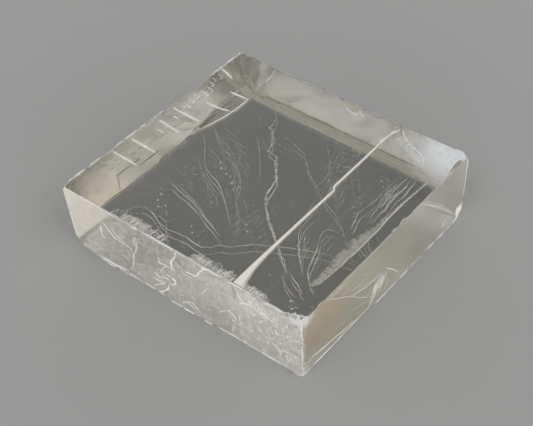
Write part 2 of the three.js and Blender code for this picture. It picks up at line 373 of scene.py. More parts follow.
@dataclass(frozen=True)
class CalciteFinish:
    """Clear calcite: polished broad faces, hazier sides, and white bruises along every edge."""

    clear: Triple = (0.985, 0.985, 0.975)
    haze: Triple = (0.70, 0.675, 0.62)
    band: Triple = (0.50, 0.43, 0.31)
    frost: Triple = (0.97, 0.94, 0.89)
    cream: Triple = (0.99, 0.94, 0.83)
    cold: Triple = (0.93, 0.96, 0.985)
    # painted shade: the darker olive that the front-right side turns to about its shaded spot
    painted_shade_olive: Triple = (0.64, 0.61, 0.46)
    amber: Triple = (0.76, 0.58, 0.38)
    bruise: Triple = (0.96, 0.95, 0.93)
    absorption: Triple = (0.80, 0.79, 0.74)
    density: float = 12.0
    # cloudy patterns: clouds per millimetre, finer octaves, how strong those are, and how far they bend
    clouds: Cloud = (0.13, 5.0, 0.6, 0.6)
    mottle: Cloud = (0.9, 5.0, 0.65, 0.5)
    grain: Cloud = (3.4, 5.0, 0.7, 0.0)
    ragged: Cloud = (1.8, 4.0, 0.7, 0.0)
    worn: Cloud = (0.12, 2.0, 0.55, 0.0)
    splinters: Cloud = (1.0, 4.0, 0.7, 0.4)
    streaks: Cloud = (0.6, 5.0, 0.65, 0.0)
    splinter_stretch: Triple = (2.4, 0.5, 2.0)
    streak_stretch: Triple = (0.25, 0.25, 1.6)
    relief_depth: float = 0.10
    relief_strength: float = 0.45
    side_reach: float = 0.6
    bruise_reach: float = 0.8
    shell_reach: float = 5.0
    # round spots: the middle, along and across a face, then where each starts to fade and where it is gone
    toe: Spot = ((18.0, 1.2), 1.2, 4.2)
    pitted: Spot = ((1.2, 0.6), 1.6, 4.6)
    glazed: Spot = ((3.0, 62.5), 3.0, 15.0)
    warmed: Spot = ((7.0, 5.0), 3.0, 12.0)
    # painted shade: where the front-right side is darkened to olive
    painted_shade_spot: Spot = ((20.0, 10.0), 8.0, 34.0)
    # straight lines on a face that a zone ends at, and how soft its end is
    corner_line: Cut = ((69.4, 17.1), (54.2, -0.2), 0.5)
    low_line: Cut = ((22.0, 18.5), (2.0, 14.0), 3.0)
    far_line: Cut = ((42.0, 0.0), (63.5, 19.0), 3.0)
    # from where to where, along the stone, its knocked end begins
    knocked_start: Pair = (5.0, 14.0)
    # how milky a zone is everywhere, and what its mottling adds
    corner_milk: Pair = (0.28, 0.45)
    knocked_milk: Pair = (0.06, 0.40)
    glaze_milk: Pair = (0.66, 0.40)
    side_milk: Pair = (0.26, 0.22)
    back_milk: float = 0.06
    end_milk: float = 0.34
    frost_milk: float = 0.72
    ledge_milk: float = 0.90
    edge_milk: float = 0.85
    splinter_milk: float = 0.30
    tint_share: float = 0.85
    front_roughness: Pair = (0.31, 0.42)
    back_roughness: Pair = (0.05, 0.13)
    worn_roughness: float = 0.6
    glaze_roughness: float = 0.06
    ledge_roughness: float = 0.34
    least_roughness: float = 0.015

    def depth(self, shading: Shading, face: Face) -> Mask:
        """How deep the place lies behind a face, in millimetres."""
        return shading.step("SUBTRACT", face.out.dot(face.origin), shading.measure("DOT_PRODUCT", face.out))

    def spot(self, shading: Shading, face: Face, spot: Spot) -> Mask:
        """A soft round mask about a point of a face."""
        centre, near, far = spot
        return shading.measure("DISTANCE", face.at(*centre)).fade(near, far, 1.0, 0.0)

    def beyond(self, shading: Shading, face: Face, cut: Cut) -> Mask:
        """A mask of all that lies past a straight line on a face.

        Args:
            shading: the tree that is being written.
            face: the face that the line is drawn on.
            cut: the line's two ends, along and across the face, and how wide the change is.

        Returns:
            The mask, 1 on the line's left when the face is seen from outside.
        """
        start, end, soft = cut
        first, second = face.at(*start), face.at(*end)
        sideways = face.out.cross(second - first).normalized()
        offset = shading.step("SUBTRACT", shading.measure("DOT_PRODUCT", sideways), sideways.dot(first))
        return offset.fade(-soft / 2, soft / 2)

    def bruised(self, shading: Shading) -> Mask:
        """The ragged white line along every edge, wider where the edge is more worn.

        Args:
            shading: the tree that is being written.

        Returns:
            The mask of the line.
        """
        faces = (PLAN.upper, PLAN.lower, *PLAN.sides)
        total, *others = (self.depth(shading, face).fade(0.0, self.bruise_reach, 1, 0) for face in faces)
        for mask in others:
            total = total + mask
        total = shading.step("SUBTRACT", total, 1.0, clamp=True)
        ragged, worn = shading.noise(*self.ragged), shading.noise(*self.worn)
        line = (total * (ragged * 1.1 + (worn * 0.6 + 0.35))).fade(0.62, 0.95)
        # the sharp upper front-right edge stays nearly clean
        sharp = (PLAN.upper, PLAN.front_right)
        above, beside = (self.depth(shading, face).fade(0.5, 1.6, 1, 0) for face in sharp)
        return line * (above * beside * -0.9 + 1.0)

    def splintered(self, shading: Shading, broad: Mask) -> Mask:
        """The frosting in the shells that sprang off the upper front-left edge, in splinters square to it.

        Args:
            shading: the tree that is being written.
            broad: the mask of the upper face.

        Returns:
            The mask of the splinters.
        """
        upper, side = self.depth(shading, PLAN.upper), self.depth(shading, PLAN.front_left)
        shells = broad.rest() * upper.fade(0.9, 1.4, 1, 0) * side.fade(0.12, 0.3)
        shells = shells * side.fade(self.shell_reach * 0.8, self.shell_reach, 1, 0)
        slivers = shading.noise(*self.splinters, shading.stretched(self.splinter_stretch))
        return shells * slivers.fade(0.42, 0.60)

    def build(self) -> bpy.types.Material:
        """The finish as a material.

        Returns:
            The material.
        """
        shading = Shading("clear_calcite")
        broad, floor = (self.depth(shading, face).fade(0.02, 0.06, 1, 0) for face in (PLAN.upper, PLAN.lower))
        walls = (broad | floor).rest()
        reach = self.side_reach
        left, right, far_right, far_left = (
            self.depth(shading, face).fade(reach, reach * 1.6, 1.0, 0.0) * walls for face in PLAN.sides
        )
        fronts, backs = left | right, far_left | far_right
        edge, splinters = self.bruised(shading), self.splintered(shading, broad)
        clouds, grain, mottle = (shading.noise(*cloud) for cloud in (self.clouds, self.grain, self.mottle))

        front, side = PLAN.front_left, PLAN.front_right
        knocked = shading.measure("DOT_PRODUCT", Vector((1, 0, 0))).fade(*self.knocked_start) * left
        toe = self.spot(shading, front, self.toe) * left
        corner = self.beyond(shading, front, self.corner_line) * left
        low_front = self.beyond(shading, front, self.low_line) * left
        frosted = mottle.fade(0.34, 0.70) * (knocked | corner | toe | low_front)
        behind = self.depth(shading, PLAN.back_right)
        ledges = behind.fade(0.25, 0.5) * behind.fade(2.6, 3.2, 1.0, 0.0) * walls
        ledges = ledges * self.depth(shading, PLAN.lower).fade(3.4, 4.2, 1, 0)
        pits = self.spot(shading, PLAN.upper, self.pitted) * broad.rest() * grain.fade(0.36, 0.52)
        glaze = self.spot(shading, PLAN.upper, self.glazed) * broad
        warm = self.spot(shading, side, self.warmed) * right
        painted_shade_spot = self.spot(shading, side, self.painted_shade_spot) * right
        far_end = self.beyond(shading, side, self.far_line) * right
        hazy_end = self.depth(shading, PLAN.back_left).fade(2.0, 18.0, self.end_milk, 0.0)

        def milky(zone: Mask, milk: Pair) -> Mask:
            """How milky a mottled zone is."""
            return zone * (mottle * milk[1] + milk[0])

        dull = fronts * (mottle * self.side_milk[1] + clouds * self.side_milk[0]) | backs * self.back_milk
        dull = dull | frosted * self.frost_milk | ledges * self.ledge_milk | milky(corner, self.corner_milk)
        dull = dull | milky(knocked, self.knocked_milk) | milky(glaze, self.glaze_milk)
        dull = dull | floor * hazy_end * clouds
        dull = dull | (edge | pits) * self.edge_milk | splinters * self.splinter_milk
        shading.feed(Transmission_Weight=dull.rest(), IOR=INDEX)

        colour: Socket | Triple = self.clear
        for share, goal in (
            (fronts | backs, self.haze),
            (far_left, self.band),
            # painted shade: the front-right side darkens to olive about this spot
            (painted_shade_spot * self.tint_share, self.painted_shade_olive),
            (warm * self.tint_share, self.amber),
            (far_end, self.haze),
            ((knocked | toe) * grain, self.frost),
            (corner | ledges, self.cream),
            (glaze, self.cold),
            (edge | splinters | pits, self.bruise),
        ):
            colour = shading.tint(share, colour, goal)
        rough = fronts * clouds.fade(0.3, 0.7, *self.front_roughness)
        rough = rough | backs * clouds.fade(0.3, 0.7, *self.back_roughness)
        rough = rough | (frosted | edge | splinters | pits) * self.worn_roughness
        rough = rough | glaze * self.glaze_roughness | ledges * self.ledge_roughness
        shading.feed(Base_Color=colour, Roughness=rough + self.least_roughness)

        streaks = shading.noise(*self.streaks, shading.stretched(self.streak_stretch))
        relief = (frosted | splinters | pits | edge) * grain + (fronts | backs) * streaks
        shading.bump(fronts * mottle * 0.8 + relief, self.relief_depth, self.relief_strength)
        shading.absorb(self.absorption, self.density)
        return shading.material


@dataclass(frozen=True)
class FractureFinish:
    """The inside of a crack: a rough, pale skin that catches the light."""

    name: str
    pale: Triple
    dark: Triple
    roughness: float = 0.5
    mirror: float = 0.0
    uneven: float = 0.12
    clouds: Cloud = (0.35, 4.0, 0.6, 0.3)
    grain: Cloud = (3.2, 4.0, 0.6, 0.0)
    relief_depth: float = 0.03
    relief_strength: float = 0.4

    def build(self) -> bpy.types.Material:
        """The finish as a material.

        Returns:
            The material.
        """
        shading = Shading(self.name)
        clouds, grain = shading.noise(*self.clouds), shading.noise(*self.grain)
        rough = grain.fade(0.3, 0.7, self.roughness - self.uneven, self.roughness + self.uneven)
        shading.feed(Metallic=self.mirror, IOR=INDEX, Roughness=rough)
        shading.feed(Base_Color=shading.tint(clouds, self.dark, self.pale))
        shading.bump(grain, self.relief_depth, self.relief_strength)
        return shading.material


class Skin(Enum):
    """The crack finishes that the pieces share."""

    # painted reflection: the tan stands in for the luminous sides that the long crack mirrors
    TAN = FractureFinish("crack_skin_painted_reflection", (0.975, 0.935, 0.84), (0.93, 0.87, 0.75))
    WHITE = FractureFinish("white_crack_skin", (0.99, 0.985, 0.975), (0.94, 0.93, 0.915))
    COOL = FractureFinish("bluish_feather_skin", (0.96, 0.98, 0.995), (0.88, 0.91, 0.95))
    GLINT = FractureFinish("glinting_air_film", (0.985, 0.985, 0.98), (0.95, 0.955, 0.955), 0.26, 0.85)
    CREAM = FractureFinish("cream_crack_skin", (0.985, 0.96, 0.90), (0.94, 0.90, 0.81))

    @property
    def material(self) -> bpy.types.Material:
        """The finish as a material, made on its first use."""
        return bpy.data.materials.get(self.value.name) or self.value.build()


# ---------------------------------------------------------------- modelling by hand


class Bench:
    """Ways of working on one piece at a time."""

    @staticmethod
    def clear() -> None:
        """Lets go of everything."""
        if bpy.context.object and bpy.context.object.mode != "OBJECT":
            bpy.ops.object.mode_set(mode="OBJECT")
        bpy.ops.object.select_all(action="DESELECT")

    @classmethod
    def hold(cls, piece: Solid) -> None:
        """Selects one piece alone.

        Args:
            piece: what is selected.
        """
        cls.clear()
        bpy.context.view_layer.objects.active = piece
        piece.select_set(True)

    @classmethod
    def edit(cls, piece: Solid) -> None:
        """Opens one piece for editing, with all of it selected.

        Args:
            piece: what is opened.
        """
        cls.hold(piece)
        bpy.ops.object.mode_set(mode="EDIT")
        bpy.ops.mesh.select_all(action="SELECT")

    @classmethod
    def apply(cls, piece: Solid, kind: str, **settings: object) -> None:
        """Adds a modifier and applies it.

        Args:
            piece: what is worked on.
            kind: the modifier's type.
            settings: its values.
        """
        cls.hold(piece)
        modifier = piece.modifiers.new(kind.lower(), kind)
        for key, value in settings.items():
            setattr(modifier, key, value)
        bpy.ops.object.modifier_apply(modifier=modifier.name)

    @classmethod
    def tidy(cls, piece: Solid) -> None:
        """Merges doubles and turns every face outwards.

        Args:
            piece: what is tidied.
        """
        cls.edit(piece)
        bpy.ops.mesh.remove_doubles(threshold=1e-6)
        bpy.ops.mesh.normals_make_consistent(inside=False)
        bpy.ops.object.mode_set(mode="OBJECT")

    @classmethod
    def put_in_place(cls, piece: Solid) -> None:
        """Moves the object's own place, turn and size into its mesh."""
        cls.hold(piece)
        bpy.ops.object.transform_apply(location=True, rotation=True, scale=True)

    @classmethod
    def dress(cls, piece: Solid, material: bpy.types.Material) -> Solid:
        """Gives a finished piece its finish and its body.

        Args:
            piece: the finished piece.
            material: its finish.

        Returns:
            The same piece.
        """
        cls.put_in_place(piece)
        piece.data.materials.clear()
        piece.data.materials.append(material)
        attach(piece, BODY)
        log.info("%s: %d faces", piece.name, len(piece.data.polygons))
        return piece

    @classmethod
    def joined(cls, name: str, parts: Sequence[Solid]) -> Solid:
        """Several parts as one piece.

        Args:
            name: the piece's name.
            parts: what it is made of.

        Returns:
            The piece.
        """
        cls.clear()
        for part in parts:
            part.select_set(True)
        bpy.context.view_layer.objects.active = parts[0]
        bpy.ops.object.join()
        parts[0].name = parts[0].data.name = name
        return parts[0]

    @staticmethod
    def copies(name: str, pattern: Solid, places: Sequence[Matrix]) -> Solid:
        """One piece made of many copies of a pattern, each with its own mesh, and the pattern put away.

        Args:
            name: the new piece's name.
            pattern: what is copied.
            places: where each copy goes, in metres.

        Returns:
            The new piece.
        """
        gathered = bmesh.new()
        for place in places:
            copy = pattern.data.copy()
            copy.transform(place)
            gathered.from_mesh(copy)
            bpy.data.meshes.remove(copy)
        mesh = bpy.data.meshes.new(name)
        gathered.to_mesh(mesh)
        gathered.free()
        piece = bpy.data.objects.new(name, mesh)
        bpy.context.scene.collection.objects.link(piece)
        bpy.data.objects.remove(pattern)
        return piece


class Seat:
    """Finds the stone's real surface, with its ledges and shells, near a point of a flat face or edge."""

    tree: BVHTree | None = None

    @classmethod
    def find(cls, place: Vector, out: Vector, reach: float = 3.0) -> Vector | None:
        """The first real surface met on the way in through a point.

        Args:
            place: a point on or near the surface, in millimetres.
            out: the way out of the stone there.
            reach: how far off the surface may lie, to either side.

        Returns:
            The place on the surface, or None where there is none.
        """
        if cls.tree is None:
            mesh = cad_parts[NODE].data
            corners = [vertex.co / MM for vertex in mesh.vertices]
            cls.tree = BVHTree.FromPolygons(corners, [tuple(facet.vertices) for facet in mesh.polygons])
        return cls.tree.ray_cast(place + out * reach, -out, 2 * reach)[0]

    @classmethod
    def drop(cls, place: Vector, out: Vector, inset: float = 0.0) -> Vector:
        """A point lowered or raised to the real surface, or left where it is if none is near.

        Args:
            place: a point on a flat face, in millimetres.
            out: the way out of the stone there.
            inset: how deep behind the surface the result lies.

        Returns:
            The point, in millimetres.
        """
        found = cls.find(place, out)
        return (place if found is None else found) - out * inset


class Hand:
    """A hand that draws lines which stray a little from their way, alike on every run."""

    def __init__(self, seed: int) -> None:
        """Starts the hand from a seed."""
        self.rng = random.Random(seed)

    def wander(self, points: Sequence[Vector], step: float, sway: float, out: Vector = UP) -> list[Vector]:
        """A line with more points, each a little off its way.

        Args:
            points: the line's main points.
            step: how far apart the new points are.
            sway: how far they stray sideways.
            out: the way out of the face that the line runs on.

        Returns:
            The new line.
        """
        made = [points[0].copy()]
        for start, end in zip(points, points[1:]):
            count = max(1, round((end - start).length / step))
            sideways = (end - start).cross(out)
            sideways = sideways.normalized() if sideways.length > 1e-6 else Vector((1, 0, 0))
            for i in range(1, count + 1):
                stray = self.rng.uniform(-sway, sway) * (i < count or end is not points[-1])
                made.append(start.lerp(end, i / count) + sideways * stray)
        return made

    def levelled(self, face: Face, places: Run, step: float, sway: float, level: float) -> list[Vector]:
        """A wandering line over a broad face, all of it at one height.

        Args:
            face: the broad face.
            places: the line's main points, along and across that face.
            step: how far apart its points are.
            sway: how far they stray sideways.
            level: the height, in millimetres.

        Returns:
            The line.
        """
        points = self.wander([face.at(*place) for place in places], step, sway)
        for point in points:
            point.z = level
        return points

    def seated(self, face: Face, places: Run, step: float, sway: float, inset: float = 0.0) -> list[Vector]:
        """A wandering line laid on the real surface of a face.

        Args:
            face: the flat face that the line is drawn on.
            places: its main points, along and across that face.
            step: how far apart its points are.
            sway: how far they stray sideways.
            inset: how deep behind the surface it runs.

        Returns:
            The line.
        """
        flat = self.wander([face.at(*place) for place in places], step, sway, face.out)
        return [Seat.drop(point, face.out, inset) for point in flat]

    def between(self, limits: Pair) -> float:
        """A number between two limits."""
        return self.rng.uniform(*limits)

    def turn(self, axes: str) -> Matrix:
        """A turn by any angle about each of some axes.

        Args:
            axes: the axes, such as ZX.

        Returns:
            The turn.
        """
        made = Matrix.Identity(4)
        for axis in axes:
            made = made @ Matrix.Rotation(self.rng.uniform(0, math.tau), 4, axis)
        return made


class Strokes:
    """Fine lines in the stone, drawn as curves with a thickness and then made one mesh."""

    def __init__(self, name: str) -> None:
        """Starts a set of lines.

        Args:
            name: the piece's name.
        """
        self.curve = bpy.data.curves.new(name, "CURVE")
        self.curve.dimensions = "3D"
        self.curve.bevel_depth = MM
        self.curve.bevel_resolution = 0
        self.curve.use_fill_caps = True
        self.piece = bpy.data.objects.new(name, self.curve)
        bpy.context.scene.collection.objects.link(self.piece)

    def draw(self, points: Sequence[Vector], width: float, ends: float = 0.25) -> None:
        """Draws one line that thins out towards its ends.

        Args:
            points: where it goes, in millimetres.
            width: how thick it is in the middle.
            ends: how thick it is at the ends, as a share of the middle.
        """
        line = self.curve.splines.new("POLY")
        line.points.add(len(points) - 1)
        line.use_smooth = False
        last = max(len(points) - 1, 1)
        for i, (point, spot) in enumerate(zip(points, line.points)):
            swell = math.sin(math.pi * min(max(i / last, 0.0), 1.0)) ** 0.5 if last > 1 else 0.5
            spot.co = (*(point * MM), 1.0)
            spot.radius = 0.5 * width * (ends + (1 - ends) * swell)

    def finish(self, skin: Skin, level: float | None = None, left: float = 0.35) -> None:
        """Makes the lines one dressed mesh.

        Args:
            skin: their finish.
            level: the height that level lines are pressed flat against, if they are.
            left: the share of their own height that is left then.
        """
        Bench.hold(self.piece)
        bpy.ops.object.convert(target="MESH")
        piece = bpy.context.object
        if level is not None:
            Bench.edit(piece)
            bpy.ops.transform.resize(value=(1, 1, left), center_override=(0, 0, level * MM))
        Bench.tidy(piece)
        Bench.dress(piece, skin.material)


def chip() -> Solid:
    """One chip of the stone, a knob of a few flat faces cut off on two sides.

    Returns:
        The chip, about 1 mm in radius.
    """
    Bench.clear()
    bpy.ops.mesh.primitive_ico_sphere_add(subdivisions=1, radius=MM, location=(0, 0, 0))
    piece = bpy.context.object
    Bench.edit(piece)
    for side in ((0.7, 0.2, 0.4), (-0.5, 0.6, 0.5)):
        cut = Vector(side) * 0.7 * MM
        bpy.ops.mesh.select_all(action="SELECT")
        bpy.ops.mesh.bisect(plane_co=cut, plane_no=side, use_fill=True, clear_outer=True, threshold=1e-7)
    bpy.ops.mesh.select_all(action="SELECT")
    bpy.ops.transform.resize(value=(1.0, 0.75, 0.55))
    Bench.tidy(piece)
    return piece


def sheet(name: str, rim: Sequence[Vector], foot: Sequence[Vector], thickness: float, rows: int) -> Solid:
    """A thin crack wall between two lines, pulled to shape from a flat grid.

    Args:
        name: the piece's name.
        rim: the line that one long edge follows, in millimetres.
        foot: the line that the other follows, with as many points.
        thickness: how thick the wall is.
        rows: how many rows of faces it has between the two lines.

    Returns:
        The closed wall.
    """
    Bench.clear()
    columns = len(rim)
    bpy.ops.mesh.primitive_grid_add(
        x_subdivisions=columns - 1, y_subdivisions=rows, size=2 * MM, location=(0, 0, 0)
    )
    piece = bpy.context.object
    piece.name = piece.data.name = name
    bpy.ops.object.mode_set(mode="EDIT")
    bpy.ops.mesh.select_all(action="DESELECT")
    shape = bmesh.from_edit_mesh(piece.data)
    spots = sorted(shape.verts, key=lambda v: (round(v.co.y, 9), round(v.co.x, 9)))
    for index, spot in enumerate(spots):
        row, column = divmod(index, columns)
        goal = foot[column].lerp(rim[column], row / rows) * MM
        spot.select = True
        bpy.ops.transform.translate(value=goal - spot.co)
        spot.select = False
        shape = bmesh.from_edit_mesh(piece.data)
    bpy.ops.object.mode_set(mode="OBJECT")
    Bench.apply(piece, "SOLIDIFY", thickness=thickness * MM, offset=0.0, use_even_offset=False)
    Bench.tidy(piece)
    return piece


# ---------------------------------------------------------------- the stone


@dataclass
class CleavageBlock:
    """The clear block itself, with its corners, shells and ledges."""

    merge: float = 2e-6
    flat_angle: float = 0.05
    smooth_angle: float = 24.0

    def body(self) -> Solid:
        """The block, closed and with its shells smooth.

        Returns:
            The block's own copy of the plain solid.
        """
        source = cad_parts[NODE]
        piece = bpy.data.objects.new("calcite_block", source.data.copy())
        bpy.context.scene.collection.objects.link(piece)
        Bench.edit(piece)
        bpy.ops.mesh.remove_doubles(threshold=self.merge)
        bpy.ops.mesh.dissolve_limited(angle_limit=math.radians(self.flat_angle))
        bpy.ops.object.mode_set(mode="OBJECT")
        bpy.ops.object.shade_smooth_by_angle(angle=math.radians(self.smooth_angle))
        Bench.apply(piece, "WEIGHTED_NORMAL", mode="FACE_AREA", keep_sharp=True, weight=100)
        return piece

    def build(self) -> None:
        """Builds and dresses the block, which stands for the plain solid."""
        piece = Bench.dress(self.body(), CalciteFinish().build())
        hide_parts(NODE)


# ---------------------------------------------------------------- cracks, scratches and feathers


@dataclass
class LongCrack:
    """The straight open crack across the upper face: the tan skin of its wall and the pale lip over it, their
    tan and cream a painted reflection of the luminous sides in the crack.
    """

    offset: float = 18.7
    jog: float = 0.78
    gap: float = 0.20
    foot_gap: float = 0.07
    thickness: float = 0.07
    top_cover: float = 0.05
    lip_cover: float = -0.007
    lip_sink: float = 0.020
    lip_thickness: float = 0.016
    # across the face, then where the lip's two sides run
    lip: tuple[Triple, ...] = (
        (0.5, 18.70, 16.0), (2.0, 18.72, 16.25), (3.6, 18.75, 16.6), (4.6, 18.78, 16.9),
        (5.6, 18.80, 17.15), (7.8, 18.84, 17.5), (11.2, 18.86, 17.8), (14.5, 18.87, 17.95),
        (22.0, 18.87, 18.12), (30.0, 18.86, 18.18), (35.6, 18.86, 18.20), (36.3, 19.35, 18.60),
        (36.9, 19.65, 18.98), (43.0, 19.68, 19.02), (50.3, 19.72, 19.10), (53.2, 19.74, 19.22),
        (55.0, 19.75, 19.34), (58.5, 19.74, 19.42), (61.6, 19.64, 19.34),
    )
    # distances along the short edge, each with the crack's depth there, before and after the jog
    near_depths: Run = (
        (0.35, 6.0), (1.6, 5.4), (3.0, 4.7), (4.5, 4.0), (6.0, 3.4), (7.5, 3.05), (9.5, 2.6), (11.5, 2.2),
        (13.5, 1.95), (18.0, 1.6), (24.0, 1.4), (30.0, 1.3), (36.2, 1.2),
    )
    far_depths: Run = (
        (36.2, 1.2), (40.0, 1.15), (45.0, 1.05), (50.0, 0.95), (52.4, 0.9), (55.0, 0.82), (58.0, 0.75),
        (61.0, 0.68), (63.3, 0.6),
    )

    def wall(self, name: str, depths: Run, shift: float) -> Solid:
        """One straight length of the crack's near wall.

        Args:
            name: what the length is called while it is made.
            depths: distances along the short edge, each with the crack's depth there.
            shift: how far this length is jogged sideways.

        Returns:
            The closed wall.
        """
        line = self.offset + shift
        rim = [PLAN.upper.at(line - self.gap, over, self.top_cover) for over, _ in depths]
        foot = [PLAN.upper.at(line - self.foot_gap, over) + PLAN.steep * depth for over, depth in depths]
        return sheet(name, rim, foot, self.thickness, rows=3)

    def build(self) -> None:
        """Builds and dresses the skin of the crack and its lip."""
        near = self.wall("near_length", self.near_depths, 0.0)
        far = self.wall("far_length", self.far_depths, self.jog)
        # the wall's tan and the lip's cream are a painted reflection of the luminous sides in the crack
        Bench.dress(Bench.joined("long_crack_skin", (near, far)), Skin.TAN.material)
        rim = [PLAN.upper.at(left, over, self.lip_cover) for over, left, _ in self.lip]
        foot = [PLAN.upper.at(right, over, self.lip_cover + self.lip_sink) for over, _, right in self.lip]
        Bench.dress(sheet("long_crack_lip", rim, foot, self.lip_thickness, rows=2), Skin.CREAM.material)


@dataclass
class CrossTicks:
    """Short cracks square to the back-left edge of the upper face, and small ledge steps beside them."""

    width: float = 0.50
    step_width: float = 0.19
    uneven: Pair = (0.85, 1.1)
    step: float = 0.8
    sway: float = 0.03
    taper: float = 0.55
    level: float = 18.506
    left: float = 0.12
    lines: tuple[Run, ...] = (
        ((69.4, 55.5), (67.1, 54.9), (64.6, 54.0)), ((61.3, 49.5), (56.0, 49.7)),
        ((63.4, 42.7), (59.6, 42.9), (56.3, 43.6)), ((68.6, 36.4), (59.8, 36.1)),
        ((68.2, 30.8), (60.7, 30.2)), ((68.6, 21.7), (60.5, 21.4)), ((68.8, 15.8), (61.0, 15.5)),
    )
    steps: tuple[Run, ...] = (
        ((68.6, 53.2), (66.8, 53.0), (66.8, 51.9)), ((68.7, 51.2), (67.3, 51.1), (67.3, 50.2)),
        ((68.5, 49.6), (66.6, 49.4), (66.6, 48.2)), ((67.4, 47.6), (65.2, 47.4), (65.2, 46.4)),
        ((67.0, 45.7), (65.0, 45.5), (65.0, 44.4)), ((68.3, 43.6), (66.4, 43.4), (66.4, 42.3)),
        ((68.2, 41.5), (66.0, 41.3), (66.0, 40.2)), ((67.6, 39.4), (65.4, 39.2), (65.4, 38.4)),
        ((66.4, 34.0), (65.0, 34.0)), ((66.3, 27.9), (64.2, 27.9)),
        ((57.7, 63.2), (57.1, 60.3), (56.6, 57.5)),
    )
    seed: int = 9

    def build(self) -> None:
        """Builds and dresses the ticks as one piece, and the steps as another."""
        hand = Hand(self.seed)
        for name, runs, width, skin in (
            ("cross_ticks", self.lines, self.width, Skin.WHITE),
            ("ledge_steps", self.steps, self.step_width, Skin.CREAM),
        ):
            strokes = Strokes(name)
            for run in runs:
                points = hand.levelled(PLAN.upper, run, self.step, self.sway, self.level)
                strokes.draw(points, width * hand.between(self.uneven), self.taper)
            strokes.finish(skin, self.level, self.left)


@dataclass
class BackShell:
    """The wide shell out of the lower back corner: bright inner rim, thin upper rim, ripples between."""

    rim_width: float = 0.62
    thin_width: float = 0.24
    line_width: float = 0.12
    ripple_width: float = 0.15
    level: float = 0.17
    inset: float = 0.12
    line_inset: float = 0.1
    edge: float = 69.4
    rim_step: float = 0.7
    rim_sway: float = 0.07
    rim_taper: float = 0.5
    side_share: float = 0.8
    side_taper: float = 0.3
    thin_step: float = 0.8
    sway: float = 0.05
    line_step: float = 0.9
    line_sway: float = 0.06
    rim: Run = (
        (66.9, 64.3), (66.8, 62.6), (66.7, 60.5), (66.7, 57.1), (67.2, 54.8), (67.2, 53.4), (67.8, 50.6),
        (68.3, 48.5), (69.0, 45.9), (69.5, 44.2),
    )
    rim_on_side: Run = ((66.7, 18.9), (65.3, 16.1), (63.3, 11.8))
    upper_rims: tuple[Run, ...] = (
        ((-0.4, 19.0), (3.6, 18.3), (10.3, 17.7), (15.6, 17.3), (19.4, 17.7), (24.0, 18.8)),
        ((4.0, 17.4), (10.0, 16.8), (16.0, 16.4)),
    )
    right_line: Run = ((66.2, 13.6), (64.5, 10.7))
    left_line: Run = ((52.6, 1.9), (47.3, 6.8), (37.8, 8.8), (31.9, 10.1), (22.7, 11.4))
    ripples: Pair = (0.35, 0.68)
    rungs: Pair = (47.0, 63.0)
    rung_pitch: float = 0.95
    rung_start: float = 0.25
    rung_lean: float = 0.2
    rung_swell: Pair = (0.6, 1.1)
    rung_uneven: Pair = (0.7, 1.3)
    seed: int = 21

    def on_shell(self, along: float, across: float) -> Vector:
        """A place just inside the shell's surface, over a point of the lower face."""
        return Seat.drop(PLAN.lower.at(along, across), PLAN.lower.out, self.inset)

    def build(self) -> None:
        """Builds and dresses the rim as one piece and the fine lines as another."""
        hand = Hand(self.seed)
        rim = Strokes("back_shell_rim")
        path = hand.levelled(PLAN.lower, self.rim, self.rim_step, self.rim_sway, self.level)
        rim.draw(path, self.rim_width, self.rim_taper)
        rim.finish(Skin.CREAM, self.level)
        lines = Strokes("back_shell_ripples")
        path = hand.seated(PLAN.back_right, self.rim_on_side, self.rim_step, self.sway, self.inset)
        lines.draw(path, self.rim_width * self.side_share, self.side_taper)
        for run in self.upper_rims:
            path = hand.seated(PLAN.back_left, run, self.thin_step, self.sway, self.inset)
            lines.draw(path, self.thin_width)
        for face, run in ((PLAN.back_right, self.right_line), (PLAN.back_left, self.left_line)):
            path = hand.seated(face, run, self.line_step, self.line_sway, self.line_inset)
            lines.draw(path, self.line_width)
        for share in self.ripples:
            places = [(along + (self.edge - along) * share, across) for along, across in self.rim[:-2]]
            lines.draw([self.on_shell(*place) for place in places], self.ripple_width)
        across, end = self.rungs
        while across < end:
            near = min(self.rim, key=lambda spot: abs(spot[1] - across))[0] + self.rung_start
            shares = (0.0, 0.33, 0.66, 1.0)
            places = [(near + (self.edge - near) * t, across + self.rung_lean * t) for t in shares]
            rung = [self.on_shell(*place) for place in places]
            lines.draw(rung, self.ripple_width * hand.between(self.rung_swell))
            across += self.rung_pitch * hand.between(self.rung_uneven)
        lines.finish(Skin.CREAM)


